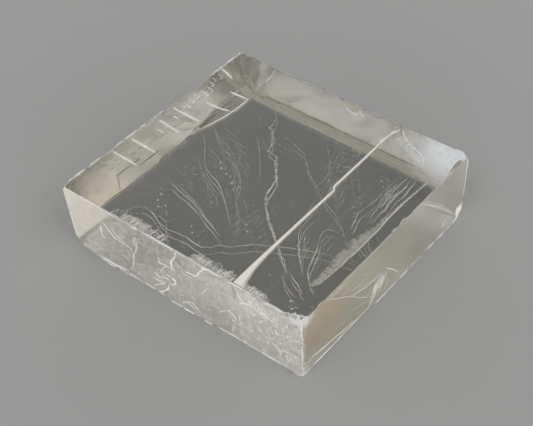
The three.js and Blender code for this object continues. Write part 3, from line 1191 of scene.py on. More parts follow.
@dataclass
class FeatherVeil:
    """The veil that rises beside the front-right side: a bright foot on the lower face and fine feathers."""

    # along and across the lower face, and how far the veil seems to spread there
    trace: tuple[Triple, ...] = (
        (13.0, 19.2, 0.7), (12.1, 20.8, 1.6), (11.9, 24.5, 2.1), (11.6, 27.8, 2.5), (11.6, 30.9, 2.9),
        (11.4, 33.7, 3.1), (11.4, 36.9, 3.1), (11.4, 40.1, 2.2), (11.4, 43.3, 1.4), (11.7, 47.0, 0.9),
        (11.7, 50.4, 0.6), (11.7, 53.8, 0.5), (11.4, 56.8, 0.4), (11.2, 59.4, 0.3), (10.9, 63.1, 0.3),
    )
    foot_width: float = 0.75
    foot_points: int = 41
    foot_level: float = 0.30
    feathers: int = 900
    feather_width: Pair = (0.10, 0.24)
    feather_taper: float = 0.3
    feather_height: Pair = (0.25, 1.0)
    feather_lean: Pair = (-0.10, 0.16)
    feather_sag: float = 0.12
    feather_bow: Pair = (-0.06, 0.06)
    gathered: float = 1.15
    lift: float = 0.35
    flat: float = 0.95
    step: float = 0.6
    foot_sway: float = 0.05
    foot_taper: float = 0.4
    below_sway: float = 0.08
    pressed: float = 0.72
    below_width: Pair = (0.14, 0.22)
    below: tuple[Run, ...] = (
        ((11.2, 35.4), (9.4, 34.1), (8.1, 33.9)), ((10.9, 37.2), (8.9, 36.0), (7.6, 35.3)),
        ((11.0, 36.4), (9.5, 35.4), (8.4, 34.8)), ((11.2, 41.4), (9.8, 40.2), (8.6, 39.4)),
        ((11.1, 30.2), (9.7, 30.2), (8.4, 30.6)), ((11.6, 27.8), (10.1, 28.3), (8.2, 28.7)),
        ((11.0, 38.2), (9.8, 37.0), (8.8, 36.4)), ((11.2, 31.4), (10.0, 31.0), (8.8, 31.2)),
        ((11.1, 34.6), (9.8, 33.4), (8.9, 33.0)),
    )
    seed: int = 4

    def spot(self, share: float) -> tuple[Vector, float]:
        """A place on the foot, and how wide the veil spreads there.

        Args:
            share: how far along the trace, from 0 to 1.

        Returns:
            The place and the spread, in millimetres.
        """
        run = share * (len(self.trace) - 1)
        first = min(int(run), len(self.trace) - 2)
        (a0, o0, w0), (a1, o1, w1) = self.trace[first], self.trace[first + 1]
        part = run - first
        place = PLAN.lower.at(a0 + (a1 - a0) * part, o0 + (o1 - o0) * part, self.foot_level)
        return place, w0 + (w1 - w0) * part

    def feather(self, rng: random.Random) -> list[Vector]:
        """One bowed feather that springs from the foot.

        Args:
            rng: where the chance comes from.

        Returns:
            The feather's points.
        """
        place, spread = self.spot(rng.random() ** self.gathered)
        tall = spread * rng.uniform(*self.feather_height)
        lean = PLAN.lower.across * rng.gauss(*self.feather_lean)
        tip = place + (PLAN.lower.along * self.flat + lean - PLAN.steep * self.lift) * tall
        bow = PLAN.lower.across * rng.uniform(*self.feather_bow) * tall
        sag = PLAN.lower.along * self.feather_sag * tall + bow
        return [place.lerp(tip, t) + sag * math.sin(math.pi * t) for t in (0.0, 0.25, 0.5, 0.75, 1.0)]

    def build(self) -> None:
        """Builds and dresses the foot of the veil and its feathers."""
        hand = Hand(self.seed)
        foot = Strokes("veil_foot")
        last = self.foot_points - 1
        places = [self.spot(i / last)[0] for i in range(self.foot_points)]
        foot.draw(hand.wander(places, self.step, self.foot_sway), self.foot_width, self.foot_taper)
        for run in self.below:
            places = [PLAN.lower.at(*place, self.foot_level) for place in run]
            path = hand.wander(places, self.step, self.below_sway)
            foot.draw(path, hand.between(self.below_width))
        foot.finish(Skin.GLINT, self.foot_level, self.pressed)
        feathers = Strokes("veil_feathers")
        for _ in range(self.feathers):
            path = self.feather(hand.rng)
            feathers.draw(path, hand.between(self.feather_width), self.feather_taper)
        feathers.finish(Skin.GLINT, self.foot_level, self.pressed)


@dataclass
class LowerFaceMarks:
    """Scratches and hair cracks on the lower face, and the second image that the stone gives of each."""

    level: float = 0.22
    pressed: float = 0.78
    image_share: float = 0.8
    braid_spread: float = 0.36
    braid_turn: float = 0.6
    braid_step: float = 0.45
    line_step: float = 0.8
    strand_share: float = 0.45
    seed: int = 7
    # width, sway, then the places along and across the lower face; the first is the braid
    lines: tuple[Mark, ...] = (
        (0.42, 0.22, (
            (58.3, 62.5), (56.6, 60.7), (55.7, 58.3), (55.2, 56.4), (53.2, 55.3), (52.1, 53.5),
            (50.8, 51.5), (50.0, 49.2), (48.1, 48.8), (46.4, 48.2), (45.3, 46.2), (43.4, 44.2),
            (41.8, 42.2), (40.9, 39.5), (40.4, 37.5), (39.7, 35.4), (38.1, 33.9), (36.5, 31.8),
            (33.8, 29.9), (31.3, 28.0), (28.7, 26.1), (27.2, 24.6), (24.9, 23.0), (22.9, 21.8),
            (21.9, 20.7),
        )),
        (0.28, 0.10, (
            (64.2, 10.2), (63.8, 12.7), (62.8, 14.8), (61.0, 15.8), (58.6, 15.6), (55.3, 14.2),
            (52.6, 13.0), (51.5, 13.5), (49.2, 13.9), (46.4, 14.3), (43.8, 13.8), (41.4, 13.9),
            (39.1, 15.4), (38.6, 16.6), (35.8, 18.0), (34.4, 19.3), (32.5, 21.4), (29.2, 23.4),
            (27.1, 24.5), (23.9, 26.0), (21.1, 27.4), (17.8, 28.8), (14.3, 29.6),
        )),
        (0.26, 0.06, (
            (68.9, 44.9), (66.6, 43.6), (64.4, 41.6), (62.3, 38.8), (59.9, 36.3), (57.4, 34.6),
            (54.4, 33.4), (51.9, 32.5), (49.0, 30.6), (46.4, 28.5), (43.9, 26.4), (42.1, 25.1),
        )),
        (0.16, 0.06, ((63.4, 38.0), (60.1, 34.8), (56.9, 32.9), (53.0, 31.0), (49.7, 29.4), (48.2, 27.2))),
        (0.25, 0.12, (
            (67.5, 48.2), (65.3, 46.8), (62.1, 44.7), (58.9, 42.7), (56.0, 42.0), (54.0, 40.3),
            (51.8, 39.4), (49.4, 37.7), (47.6, 35.0), (46.4, 32.5), (44.3, 30.0), (42.0, 27.8),
            (40.3, 26.4),
        )),
        (0.26, 0.05, (
            (62.1, 26.0), (58.3, 25.1), (54.2, 24.4), (50.1, 23.2), (47.5, 21.8), (43.3, 20.4),
            (40.2, 19.0),
        )),
        (0.14, 0.05, ((60.0, 26.5), (55.4, 25.2), (51.3, 24.2), (46.2, 21.5), (43.4, 21.0))),
        (0.15, 0.03, ((57.7, 53.1), (54.3, 50.5), (51.1, 47.0), (48.1, 43.5), (44.7, 39.1))),
        (0.20, 0.10, ((57.5, 14.5), (56.0, 15.6), (53.8, 15.3), (52.2, 13.9), (51.4, 12.6), (49.2, 12.4))),
        (0.26, 0.10, ((48.9, 9.3), (49.7, 10.8), (49.8, 11.7), (51.0, 12.5), (52.4, 14.2))),
        (0.27, 0.14, ((27.0, 33.1), (25.5, 30.5), (23.6, 27.9), (21.5, 25.5), (19.6, 23.6), (18.5, 22.5))),
        (0.19, 0.08, ((24.4, 31.3), (22.2, 28.2), (20.6, 25.5), (18.9, 22.8))),
        (0.30, 0.04, (
            (20.1, 31.1), (18.9, 28.7), (17.9, 25.8), (17.2, 23.7), (16.4, 22.2), (15.1, 20.7),
            (13.7, 19.7), (12.8, 19.3),
        )),
        (0.16, 0.05, ((20.1, 31.1), (21.1, 33.1), (21.4, 35.0), (20.6, 36.1), (19.2, 36.3), (18.3, 36.2))),
        (0.24, 0.12, ((19.4, 19.6), (17.8, 18.7), (16.0, 18.0), (14.5, 17.0), (13.2, 16.3))),
        (0.14, 0.05, ((21.3, 18.7), (19.0, 16.8), (16.2, 15.3), (14.0, 14.5))),
        (0.16, 0.08, ((24.4, 23.2), (23.1, 22.0), (21.8, 20.9))),
        (0.19, 0.10, (
            (51.7, 56.7), (47.9, 55.4), (44.6, 54.6), (41.2, 53.3), (38.7, 50.5), (35.1, 47.8),
            (31.3, 45.5), (28.2, 43.4), (23.5, 41.2), (20.2, 39.4), (17.1, 36.9), (14.7, 34.6),
        )),
        (0.12, 0.05, ((49.8, 55.6), (45.7, 54.6), (41.7, 53.6))),
        (0.19, 0.03, (
            (36.4, 62.2), (34.8, 61.8), (33.0, 62.2), (30.6, 62.5), (30.4, 60.7), (32.3, 60.5),
            (34.7, 59.5), (35.3, 61.4),
        )),
        (0.15, 0.03, ((35.9, 60.8), (33.4, 61.4), (30.5, 61.6))),
        (0.15, 0.10, ((36.5, 61.3), (36.0, 58.5), (34.5, 55.1), (33.1, 52.3), (31.1, 49.3), (28.8, 47.3))),
        (0.14, 0.08, ((35.6, 61.2), (34.6, 58.0), (33.1, 54.6), (30.3, 51.3))),
        (0.20, 0.03, ((33.2, 54.8), (30.5, 56.0), (26.8, 57.2))),
        (0.20, 0.03, ((31.6, 53.4), (28.4, 54.6), (25.2, 55.6))),
        (0.16, 0.10, ((40.4, 60.7), (37.6, 58.0), (35.0, 55.1), (33.2, 52.3), (31.3, 50.3), (29.4, 48.8))),
        (0.14, 0.08, ((32.5, 59.8), (29.5, 57.9), (26.5, 55.4), (24.2, 52.5), (22.0, 49.6))),
        (0.26, 0.18, ((15.9, 62.4), (15.9, 59.5), (15.9, 55.2), (15.5, 51.9), (15.5, 47.7), (15.4, 44.9))),
        (0.19, 0.14, ((14.6, 62.7), (14.6, 59.0), (14.5, 54.7), (14.2, 50.7), (14.2, 47.2))),
        (0.17, 0.10, ((13.6, 62.6), (13.2, 57.8), (12.9, 53.8))),
        (0.20, 0.12, ((16.8, 59.4), (16.6, 56.6), (16.9, 54.2), (16.6, 51.0))),
        (0.22, 0.14, ((18.4, 45.6), (18.0, 43.1), (17.5, 41.4), (16.6, 39.2))),
        (0.13, 0.14, ((17.4, 61.9), (18.0, 57.2), (17.6, 50.4), (18.6, 44.0))),
        (0.22, 0.10, (
            (64.5, 10.2), (62.7, 11.2), (60.8, 11.5), (59.5, 11.8), (57.4, 11.3), (55.5, 11.6),
            (53.9, 11.0), (51.9, 11.2), (50.6, 10.8),
        )),
        (0.15, 0.10, ((63.0, 12.7), (60.3, 11.5), (58.1, 11.4), (56.7, 11.7), (55.4, 12.0), (54.8, 13.1))),
    )
    arcs: int = 150
    arc_width: Pair = (0.05, 0.12)
    arc_length: Pair = (2.0, 8.0)
    arc_bend: Pair = (-0.5, 0.5)
    arc_stray: float = 14.0
    far_limit: float = 61.5
    # where the arcs gather, along and across, how wide, and the way they run, in degrees
    arc_zones: tuple[tuple[float, float, float, float, float], ...] = (
        (58.0, 46.0, 8.0, 7.0, 20.0), (50.0, 33.0, 8.0, 8.0, 55.0), (36.0, 26.0, 8.0, 6.0, 95.0),
        (27.0, 45.0, 8.0, 9.0, 60.0), (31.0, 55.0, 6.0, 5.0, 70.0), (15.5, 54.0, 3.0, 8.0, 88.0),
        (20.0, 30.0, 6.0, 7.0, 75.0), (56.0, 42.0, 6.0, 6.0, 25.0),
    )

    def strand(self, points: Sequence[Vector]) -> list[Vector]:
        """A second strand that winds about a line and crosses it again and again.

        Args:
            points: the line.

        Returns:
            The strand.
        """
        made = []
        for index, point in enumerate(points):
            heading = points[min(index + 1, len(points) - 1)] - points[max(index - 1, 0)]
            sideways = heading.cross(UP).normalized() * self.braid_spread
            made.append(point + sideways * math.sin(index * self.braid_turn))
        return made

    def faint_arcs(self, rng: random.Random) -> Iterable[tuple[list[Vector], float]]:
        """Short, nearly invisible arcs in loose families.

        Args:
            rng: where the chance comes from.

        Yields:
            Each arc's points and its width.
        """
        for index in range(self.arcs):
            along, over, wide, tall, way = self.arc_zones[index % len(self.arc_zones)]
            place = along + rng.gauss(0, wide / 2), min(over + rng.gauss(0, tall / 2), self.far_limit)
            centre = PLAN.lower.at(*place, self.level)
            turn = math.radians(way + rng.gauss(0, self.arc_stray))
            length, bend = rng.uniform(*self.arc_length), rng.uniform(*self.arc_bend)
            heading = PLAN.lower.along * math.cos(turn) + PLAN.lower.across * math.sin(turn)
            bow = heading.cross(UP) * bend * length
            shares = (-0.5, -0.25, 0, 0.25, 0.5)
            points = [centre + heading * length * t + bow * (t * t - 0.25) for t in shares]
            yield points, rng.uniform(*self.arc_width)

    def build(self) -> None:
        """Builds and dresses the marks and their second image."""
        hand = Hand(self.seed)
        drawn: list[tuple[list[Vector], float]] = []
        for width, sway, places in self.lines:
            step = self.line_step if drawn else self.braid_step
            points = hand.wander([PLAN.lower.at(*place, self.level) for place in places], step, sway)
            drawn.append((points, width))
        braid, width = drawn[0]
        drawn.append((self.strand(braid), width * self.strand_share))
        drawn.extend(self.faint_arcs(hand.rng))
        first, second = Strokes("lower_face_marks"), Strokes("second_image_marks")
        for points, width in drawn:
            first.draw(points, width)
            second.draw([point + SECOND_IMAGE for point in points], width * self.image_share)
        for strokes in (first, second):
            strokes.finish(Skin.GLINT, self.level, self.pressed)


@dataclass
class Specks:
    """Pin-prick chips and dust on the lower face, with their second image."""

    spots: Run = (
        (60.3, 19.6), (57.3, 19.2), (62.6, 23.2), (49.6, 26.8), (49.3, 32.4), (51.3, 31.6), (47.1, 29.3),
        (56.9, 38.9), (54.6, 38.0), (51.5, 36.2), (49.5, 34.9), (65.3, 46.8), (59.8, 57.6), (57.7, 28.9),
        (57.1, 32.8), (60.3, 33.6), (64.6, 30.4), (37.7, 25.8), (39.0, 24.2), (19.4, 58.1), (16.0, 54.0),
        (21.4, 49.1), (20.6, 45.3), (41.1, 61.1), (12.6, 54.7), (20.4, 57.0), (38.3, 61.6), (26.1, 42.1),
        (14.1, 13.1), (12.5, 11.6), (44.2, 16.4), (47.8, 17.8),
    )
    spot_size: Pair = (0.20, 0.36)
    count: int = 380
    size: Pair = (0.07, 0.20)
    near_share: float = 0.45
    stray: float = 1.6
    along: Pair = (13, 66)
    across: Pair = (9, 62)
    across_limits: Pair = (6.0, 62.0)
    rise: float = 0.24
    broad: Pair = (0.6, 1.6)
    flat: float = 0.7
    seed: int = 12

    def dust(self, rng: random.Random) -> Iterable[Triple]:
        """Small specks, many of them near the larger spots.

        Args:
            rng: where the chance comes from.

        Yields:
            Each speck's place, along and across the lower face, and its size.
        """
        least, most = self.across_limits
        for _ in range(self.count):
            if rng.random() < self.near_share:
                along, across = rng.choice(self.spots)
            else:
                along, across = rng.uniform(*self.along), rng.uniform(*self.across)
            along += rng.gauss(0, self.stray)
            yield along, min(max(across + rng.gauss(0, self.stray), least), most), rng.uniform(*self.size)

    def build(self) -> None:
        """Builds and dresses the specks as one piece."""
        hand = Hand(self.seed)
        chosen = [(*spot, hand.between(self.spot_size)) for spot in self.spots]
        chosen.extend(self.dust(hand.rng))
        places = []
        for along, across, size in chosen:
            centre = PLAN.lower.at(along, across, self.rise)
            turn = hand.turn("Z")
            shape = turn @ Matrix.Diagonal((size, size * hand.between(self.broad), size * self.flat, 1))
            for shift in (Vector(), SECOND_IMAGE):
                places.append(Matrix.Translation((centre + shift) * MM) @ shape)
        Bench.dress(Bench.copies("inner_specks", chip(), places), Skin.GLINT.material)


@dataclass
class FrontLeftFractures:
    """White fractures that reach the front-left side, and the fine wrinkles of its knocked end."""

    sunk: float = 0.04
    swell: float = 1.1
    step: float = 0.32
    jagged: float = 1.4
    taper: float = 0.4
    # width, sway, then the places along and down the side
    lines: tuple[Mark, ...] = (
        (0.44, 0.10, ((35.0, 0.3), (35.2, 2.1), (36.7, 4.7), (36.9, 6.5), (36.1, 7.3))),
        (0.24, 0.14, ((37.0, 7.0), (38.4, 7.1), (39.9, 8.7), (41.4, 11.3))),
        (0.22, 0.12, ((40.9, 5.6), (40.7, 7.5), (39.4, 7.2), (38.4, 7.1))),
        (0.38, 0.10, (
            (33.0, 5.9), (31.4, 5.5), (30.2, 5.3), (28.9, 4.3), (28.3, 2.8), (27.2, 1.4), (26.0, 0.4),
        )),
        (0.24, 0.05, ((26.0, 0.4), (27.2, 0.6), (28.8, 0.7))),
        (0.40, 0.12, ((39.2, 10.5), (38.2, 10.7), (36.6, 10.6), (36.4, 11.7), (37.6, 13.1), (38.9, 13.4))),
        (0.34, 0.12, ((38.9, 13.4), (39.1, 14.4), (39.7, 16.3), (41.7, 18.3), (42.8, 18.9))),
        (0.26, 0.10, ((44.7, 18.2), (42.2, 15.9), (39.8, 14.0))),
        (0.22, 0.10, ((41.0, 12.2), (39.5, 12.4), (38.5, 12.3))),
        (0.20, 0.10, ((43.6, 12.6), (42.0, 13.4), (40.6, 13.2))),
        (0.18, 0.10, ((44.8, 14.8), (42.6, 15.0), (40.8, 14.4))),
        (0.22, 0.10, ((47.3, 3.4), (47.3, 5.0), (47.8, 7.5), (49.2, 10.1), (50.0, 12.9), (51.4, 16.6))),
        (0.12, 0.04, ((46.7, 4.4), (44.6, 4.2), (42.1, 3.9))),
        (0.14, 0.06, ((47.4, 3.2), (48.2, 4.6), (48.2, 6.0))),
        (0.18, 0.10, ((58.0, 4.4), (56.0, 6.5), (54.8, 7.9), (52.2, 8.0), (50.6, 8.2), (49.2, 9.0))),
        (0.14, 0.10, ((55.6, 4.6), (54.2, 6.4), (52.6, 7.2), (51.0, 7.4))),
        (0.28, 0.10, ((59.0, 6.0), (59.1, 7.3), (59.2, 9.5), (58.5, 10.2))),
        (0.34, 0.08, ((62.0, 18.6), (59.1, 18.5), (56.3, 18.4), (52.8, 17.9))),
        (0.12, 0.05, ((67.1, 16.5), (61.4, 10.0), (55.8, 3.4))),
        (0.26, 0.10, ((28.1, 9.9), (27.4, 8.3), (26.5, 6.9))),
        (0.18, 0.12, ((35.5, 17.9), (32.4, 15.4), (29.6, 17.4))),
        (0.16, 0.10, ((34.0, 16.2), (31.6, 17.2), (30.2, 16.2))),
        (0.12, 0.10, ((24.2, 13.5), (21.6, 11.2), (18.9, 8.7))),
        (0.14, 0.05, ((66.9, 1.1), (66.8, 2.4), (66.9, 4.3))),
        (0.12, 0.05, ((66.0, 1.3), (66.0, 2.6), (66.2, 3.8))),
        (0.12, 0.05, ((68.2, 2.0), (68.0, 3.4), (67.9, 5.2))),
        (0.20, 0.12, ((17.2, 5.8), (16.0, 4.6), (13.8, 3.7))),
        (0.24, 0.14, ((18.4, 0.9), (17.2, 1.6), (17.0, 3.4), (15.8, 4.6))),
        (0.18, 0.12, ((20.6, 10.4), (19.1, 11.1), (18.6, 12.4))),
    )
    wrinkles: int = 380
    wrinkle_width: Pair = (0.05, 0.17)
    wrinkle_length: Pair = (0.25, 1.5)
    wrinkle_slope: Pair = (0.9, 0.9)
    wrinkle_bend: Pair = (-0.2, 0.2)
    wrinkle_step: float = 0.35
    wrinkle_sway: float = 0.10
    wrinkle_taper: float = 0.3
    down_limits: Pair = (0.8, 18.6)
    # the middle of a zone of wrinkles, along and down, and how wide the zone is each way
    wrinkle_zones: tuple[tuple[float, float, float, float], ...] = (
        (14.0, 4.0, 5.0, 3.5), (7.0, 9.0, 5.0, 6.0), (4.5, 15.0, 4.0, 3.5), (16.0, 14.0, 7.0, 5.0),
        (9.0, 4.0, 5.0, 3.0),
    )
    seed: int = 33

    def wrinkle(self, zone: int, rng: random.Random) -> Run:
        """One short bent line in a zone of wrinkles.

        Args:
            zone: which zone.
            rng: where the chance comes from.

        Returns:
            Its places, along and down the side.
        """
        along, down, wide, tall = self.wrinkle_zones[zone]
        least, most = self.down_limits
        along, down = along + rng.gauss(0, wide / 2), min(max(down + rng.gauss(0, tall / 2), least), most)
        turn, half = rng.gauss(*self.wrinkle_slope), rng.uniform(*self.wrinkle_length) / 2
        over, under = math.cos(turn) * half, math.sin(turn) * half
        middle = (along + rng.uniform(*self.wrinkle_bend), down)
        return (along - over, down - under), middle, (along + over, down + under)

    def build(self) -> None:
        """Builds and dresses the fractures as one piece and the wrinkles as another."""
        hand = Hand(self.seed)
        side = PLAN.front_left
        strokes = Strokes("front_left_fractures")
        for width, sway, places in self.lines:
            path = hand.seated(side, places, self.step, sway * self.jagged, width * self.sunk)
            strokes.draw(path, width * self.swell, self.taper)
        strokes.finish(Skin.WHITE)
        strokes = Strokes("front_left_wrinkles")
        for index in range(self.wrinkles):
            places = self.wrinkle(index % len(self.wrinkle_zones), hand.rng)
            width = hand.between(self.wrinkle_width)
            path = hand.seated(side, places, self.wrinkle_step, self.wrinkle_sway, width * self.sunk)
            strokes.draw(path, width, self.wrinkle_taper)
        strokes.finish(Skin.WHITE)


@dataclass
class FrontRightFeathers:
    """Feathery cracks that reach the front-right side, its pale band, and the cream ledge near its foot."""

    sunk: float = 0.05
    jagged: float = 1.4
    shrink: float = 0.7
    step: float = 0.4
    fine_step: float = 0.6
    fine_sway: float = 0.03
    taper: float = 0.35
    # width, sway, then the places along and down the side
    lines: tuple[Mark, ...] = (
        (0.34, 0.05, ((31.0, 10.3), (33.1, 12.5), (35.1, 14.9), (36.3, 16.6))),
        (0.34, 0.12, (
            (28.9, 10.0), (28.5, 12.0), (27.6, 14.0), (26.5, 16.2), (25.5, 17.2), (24.2, 18.4),
            (23.5, 18.7),
        )),
        (0.20, 0.08, ((29.8, 11.3), (29.8, 14.0), (28.6, 16.3), (27.4, 17.5))),
        (0.18, 0.08, ((31.8, 13.1), (31.8, 15.9), (30.9, 17.4), (29.3, 17.9))),
        (0.24, 0.06, ((28.9, 10.0), (26.0, 10.2), (22.9, 9.6), (18.8, 8.1), (17.3, 7.6))),
        (0.15, 0.06, ((28.0, 8.8), (27.0, 9.2), (25.5, 9.5), (20.8, 7.7))),
        (0.12, 0.05, ((20.6, 5.3), (21.1, 4.2), (22.9, 5.1), (24.8, 6.8))),
        (0.12, 0.05, ((21.7, 6.7), (20.7, 6.7), (18.7, 6.2), (17.2, 6.2))),
        (0.20, 0.10, ((16.7, 7.1), (21.0, 11.5), (25.9, 15.7))),
        (0.18, 0.08, ((8.5, 0.7), (13.2, 4.3), (17.2, 7.4))),
        (0.14, 0.06, ((11.8, 1.6), (12.7, 0.6), (15.5, 1.2))),
        (0.12, 0.06, ((7.1, 0.5), (9.9, 1.2), (12.2, 1.2), (14.6, 1.6))),
        (0.12, 0.06, ((12.4, 4.6), (14.6, 4.2), (17.0, 4.6))),
        (0.14, 0.04, ((4.0, 12.7), (4.3, 15.0), (4.1, 16.2))),
        (0.14, 0.05, ((57.5, 15.2), (55.7, 15.7), (54.7, 16.7))),
        (0.14, 0.05, ((58.4, 16.4), (57.0, 16.9), (55.9, 17.6))),
        (0.12, 0.05, ((24.6, 16.0), (22.0, 14.6), (19.0, 13.6))),
    )
    ledge: Run = ((2.1, 15.1), (6.1, 16.3), (11.1, 17.0), (16.2, 18.0), (19.3, 18.3))
    ledge_width: float = 0.20
    ledge_taper: float = 0.4
    band: tuple[Run, ...] = (
        ((45.3, 1.5), (49.9, 5.7), (57.1, 13.0), (61.6, 17.8)),
        ((44.6, 0.6), (48.4, 3.8), (55.1, 10.2), (62.5, 18.2)),
        ((44.9, 1.1), (49.0, 4.7), (56.1, 11.6), (62.0, 18.0)),
        ((43.9, 0.4), (47.0, 1.8), (53.1, 7.5), (62.9, 18.3)),
    )
    band_width: float = 0.13
    band_sway: float = 0.04
    plumes: int = 36
    plume_root: Pair = (28.6, 11.6)
    plume_spread: Pair = (2.2, 0.8)
    plume_reach: Pair = (1.5, 5.5)
    plume_lean: Pair = (-0.35, 0.3)
    plume_width: Pair = (0.05, 0.11)
    plume_taper: float = 0.2
    lowest: float = 18.8
    seed: int = 19

    def plume(self, rng: random.Random) -> Run:
        """One straight barb that fans down from the root of the feathers.

        Args:
            rng: where the chance comes from.

        Returns:
            Its places, along and down the side.
        """
        (along, down), (wide, tall) = self.plume_root, self.plume_spread
        along, down = along + rng.gauss(0, wide), down + rng.gauss(0, tall)
        reach, lean = rng.uniform(*self.plume_reach), rng.gauss(*self.plume_lean)
        shares = (0, 0.35, 0.7, 1)
        return tuple((along + lean * reach * t, min(down + reach * t * 0.9, self.lowest)) for t in shares)

    def build(self) -> None:
        """Builds and dresses the feathers and the band as one piece and the ledge as another."""
        hand = Hand(self.seed)
        side = PLAN.front_right
        strokes = Strokes("front_right_feathers")
        band = [(self.band_width, self.band_sway, run) for run in self.band]
        for width, sway, places in (*self.lines, *band):
            path = hand.seated(side, places, self.step, sway * self.jagged, width * self.sunk)
            strokes.draw(path, width * self.shrink, self.taper)
        for _ in range(self.plumes):
            places = self.plume(hand.rng)
            width = hand.between(self.plume_width)
            path = hand.seated(side, places, self.fine_step, self.fine_sway, width * self.sunk)
            strokes.draw(path, width, self.plume_taper)
        strokes.finish(Skin.WHITE)
        strokes = Strokes("front_right_ledge")
        path = hand.seated(side, self.ledge, self.fine_step, self.fine_sway, self.ledge_width * self.sunk)
        strokes.draw(path, self.ledge_width, self.ledge_taper)
        strokes.finish(Skin.CREAM)


@dataclass
class RightCornerMarks:
    """The flare where the long crack ends, and the ripples, streaks and hatching by the right corner."""

    level: float = 18.502
    left: float = 0.12
    # width, then the places along and across the upper face
    lines: tuple[tuple[float, Run], ...] = (
        (0.36, ((19.9, 55.8), (19.7, 58.2), (19.5, 60.3), (18.6, 62.6))),
        (0.16, ((19.3, 57.4), (19.1, 60.0), (18.4, 62.0))),
        (0.30, ((17.9, 62.3), (15.8, 60.7), (13.3, 59.0))),
        (0.18, ((13.3, 59.0), (10.8, 58.4), (8.3, 57.1), (6.9, 55.0))),
        (0.16, ((15.4, 60.0), (12.0, 58.8), (9.4, 57.6))), (0.16, ((8.7, 62.1), (7.1, 62.5), (3.9, 61.2))),
        (0.18, ((6.7, 62.7), (4.2, 61.7), (3.4, 62.6))),
        (0.24, ((4.9, 58.3), (3.1, 58.9), (3.1, 60.6), (3.2, 62.3))),
        (0.14, ((7.6, 61.2), (5.6, 61.5), (4.4, 60.8))), (0.12, ((9.4, 61.5), (8.2, 61.9), (6.6, 61.4))),
        (0.20, ((31.0, 62.6), (29.6, 61.6), (28.6, 61.4))),
        (0.14, ((34.4, 61.6), (32.0, 60.6), (30.0, 61.0))),
    )
    step: float = 0.6
    sway: float = 0.05
    hatches: int = 22
    hatch_start: Pair = (17.6, 58.6)
    hatch_end: Pair = (8.2, 54.6)
    hatch_reach: Pair = (1.0, 2.6)
    hatch_width: float = 0.08
    hatch_lean: float = 0.5
    seed: int = 3

    def build(self) -> None:
        """Builds and dresses all of them as one piece."""
        hand = Hand(self.seed)
        (a0, o0), (a1, o1) = self.hatch_start, self.hatch_end
        hatches = []
        for index in range(self.hatches):
            share = index / self.hatches
            along, over = a0 + (a1 - a0) * share, o0 + (o1 - o0) * share
            reach = hand.between(self.hatch_reach)
            tip = (along - self.hatch_lean * reach, over + reach)
            hatches.append((self.hatch_width, ((along, over), tip)))
        strokes = Strokes("right_corner_marks")
        for width, places in (*self.lines, *hatches):
            strokes.draw(hand.levelled(PLAN.upper, places, self.step, self.sway, self.level), width)
        strokes.finish(Skin.COOL, self.level, self.left)


@dataclass
class EdgeGills:
    """Curved white teeth under the upper front-left edge, where shells sprang off it, with scalloped ends."""

    # from and to, along the edge, how far in they reach, and how many
    groups: tuple[tuple[float, float, float, int], ...] = (
        (25.4, 31.2, 2.7, 13), (19.2, 25.2, 2.5, 14), (10.4, 16.2, 1.9, 13), (38.8, 52.2, 2.8, 26),
    )
    start: float = 0.35
    width: Pair = (0.12, 0.26)
    depth_share: Pair = (0.55, 1.0)
    bow: Pair = (0.1, 0.4)
    lean: float = 0.25
    step: float = 0.4
    sway: float = 0.04
    taper: float = 0.35
    sunk: float = 0.15
    link_share: float = 0.6
    link_width: Pair = (0.10, 0.18)
    link_bow: Pair = (0.15, 0.45)
    link_step: float = 0.3
    link_sway: float = 0.03
    link_inset: float = 0.02
    link_taper: float = 0.5
    seed: int = 27

    def teeth(self, strokes: Strokes, hand: Hand, group: tuple[float, float, float, int]) -> list[Pair]:
        """Draws one group of teeth.

        Args:
            strokes: what they are drawn with.
            hand: the hand that draws them.
            group: one of the groups.

        Returns:
            Where the teeth end, along and across the upper face.
        """
        begin, end, reach, count = group
        rng, tips = hand.rng, []
        for index in range(count):
            t = (index + rng.uniform(0.2, 0.8)) / count
            along = begin + (end - begin) * t
            deep = reach * rng.uniform(*self.depth_share) * math.sin(math.pi * (0.12 + 0.76 * t)) ** 0.5
            bow = rng.uniform(*self.bow)
            places = [
                (along + bow * math.sin(math.pi * u) - self.lean * deep * u, self.start + deep * u)
                for u in (0, 0.33, 0.67, 1)
            ]
            width = hand.between(self.width)
            path = hand.seated(PLAN.upper, places, self.step, self.sway, width * self.sunk)
            strokes.draw(path, width, self.taper)
            tips.append(places[-1])
        return tips

    def build(self) -> None:
        """Builds and dresses the teeth, and the scallops that link some of their ends, as one piece."""
        hand = Hand(self.seed)
        strokes = Strokes("edge_gills")
        for group in self.groups:
            tips = self.teeth(strokes, hand, group)
            for (a0, o0), (a1, o1) in zip(tips, tips[1:]):
                if hand.rng.random() < self.link_share:
                    middle = ((a0 + a1) / 2, (o0 + o1) / 2 + hand.between(self.link_bow))
                    places = ((a0, o0), middle, (a1, o1))
                    path = hand.seated(PLAN.upper, places, self.link_step, self.link_sway, self.link_inset)
                    strokes.draw(path, hand.between(self.link_width), self.link_taper)
        strokes.finish(Skin.CREAM)


@dataclass(frozen=True)
class Edge:
    """One edge of the stone, with the two faces that meet in it and how worn it is."""

    start: Vector
    end: Vector
    first: Face
    second: Face
    width: float
    crumbs: int


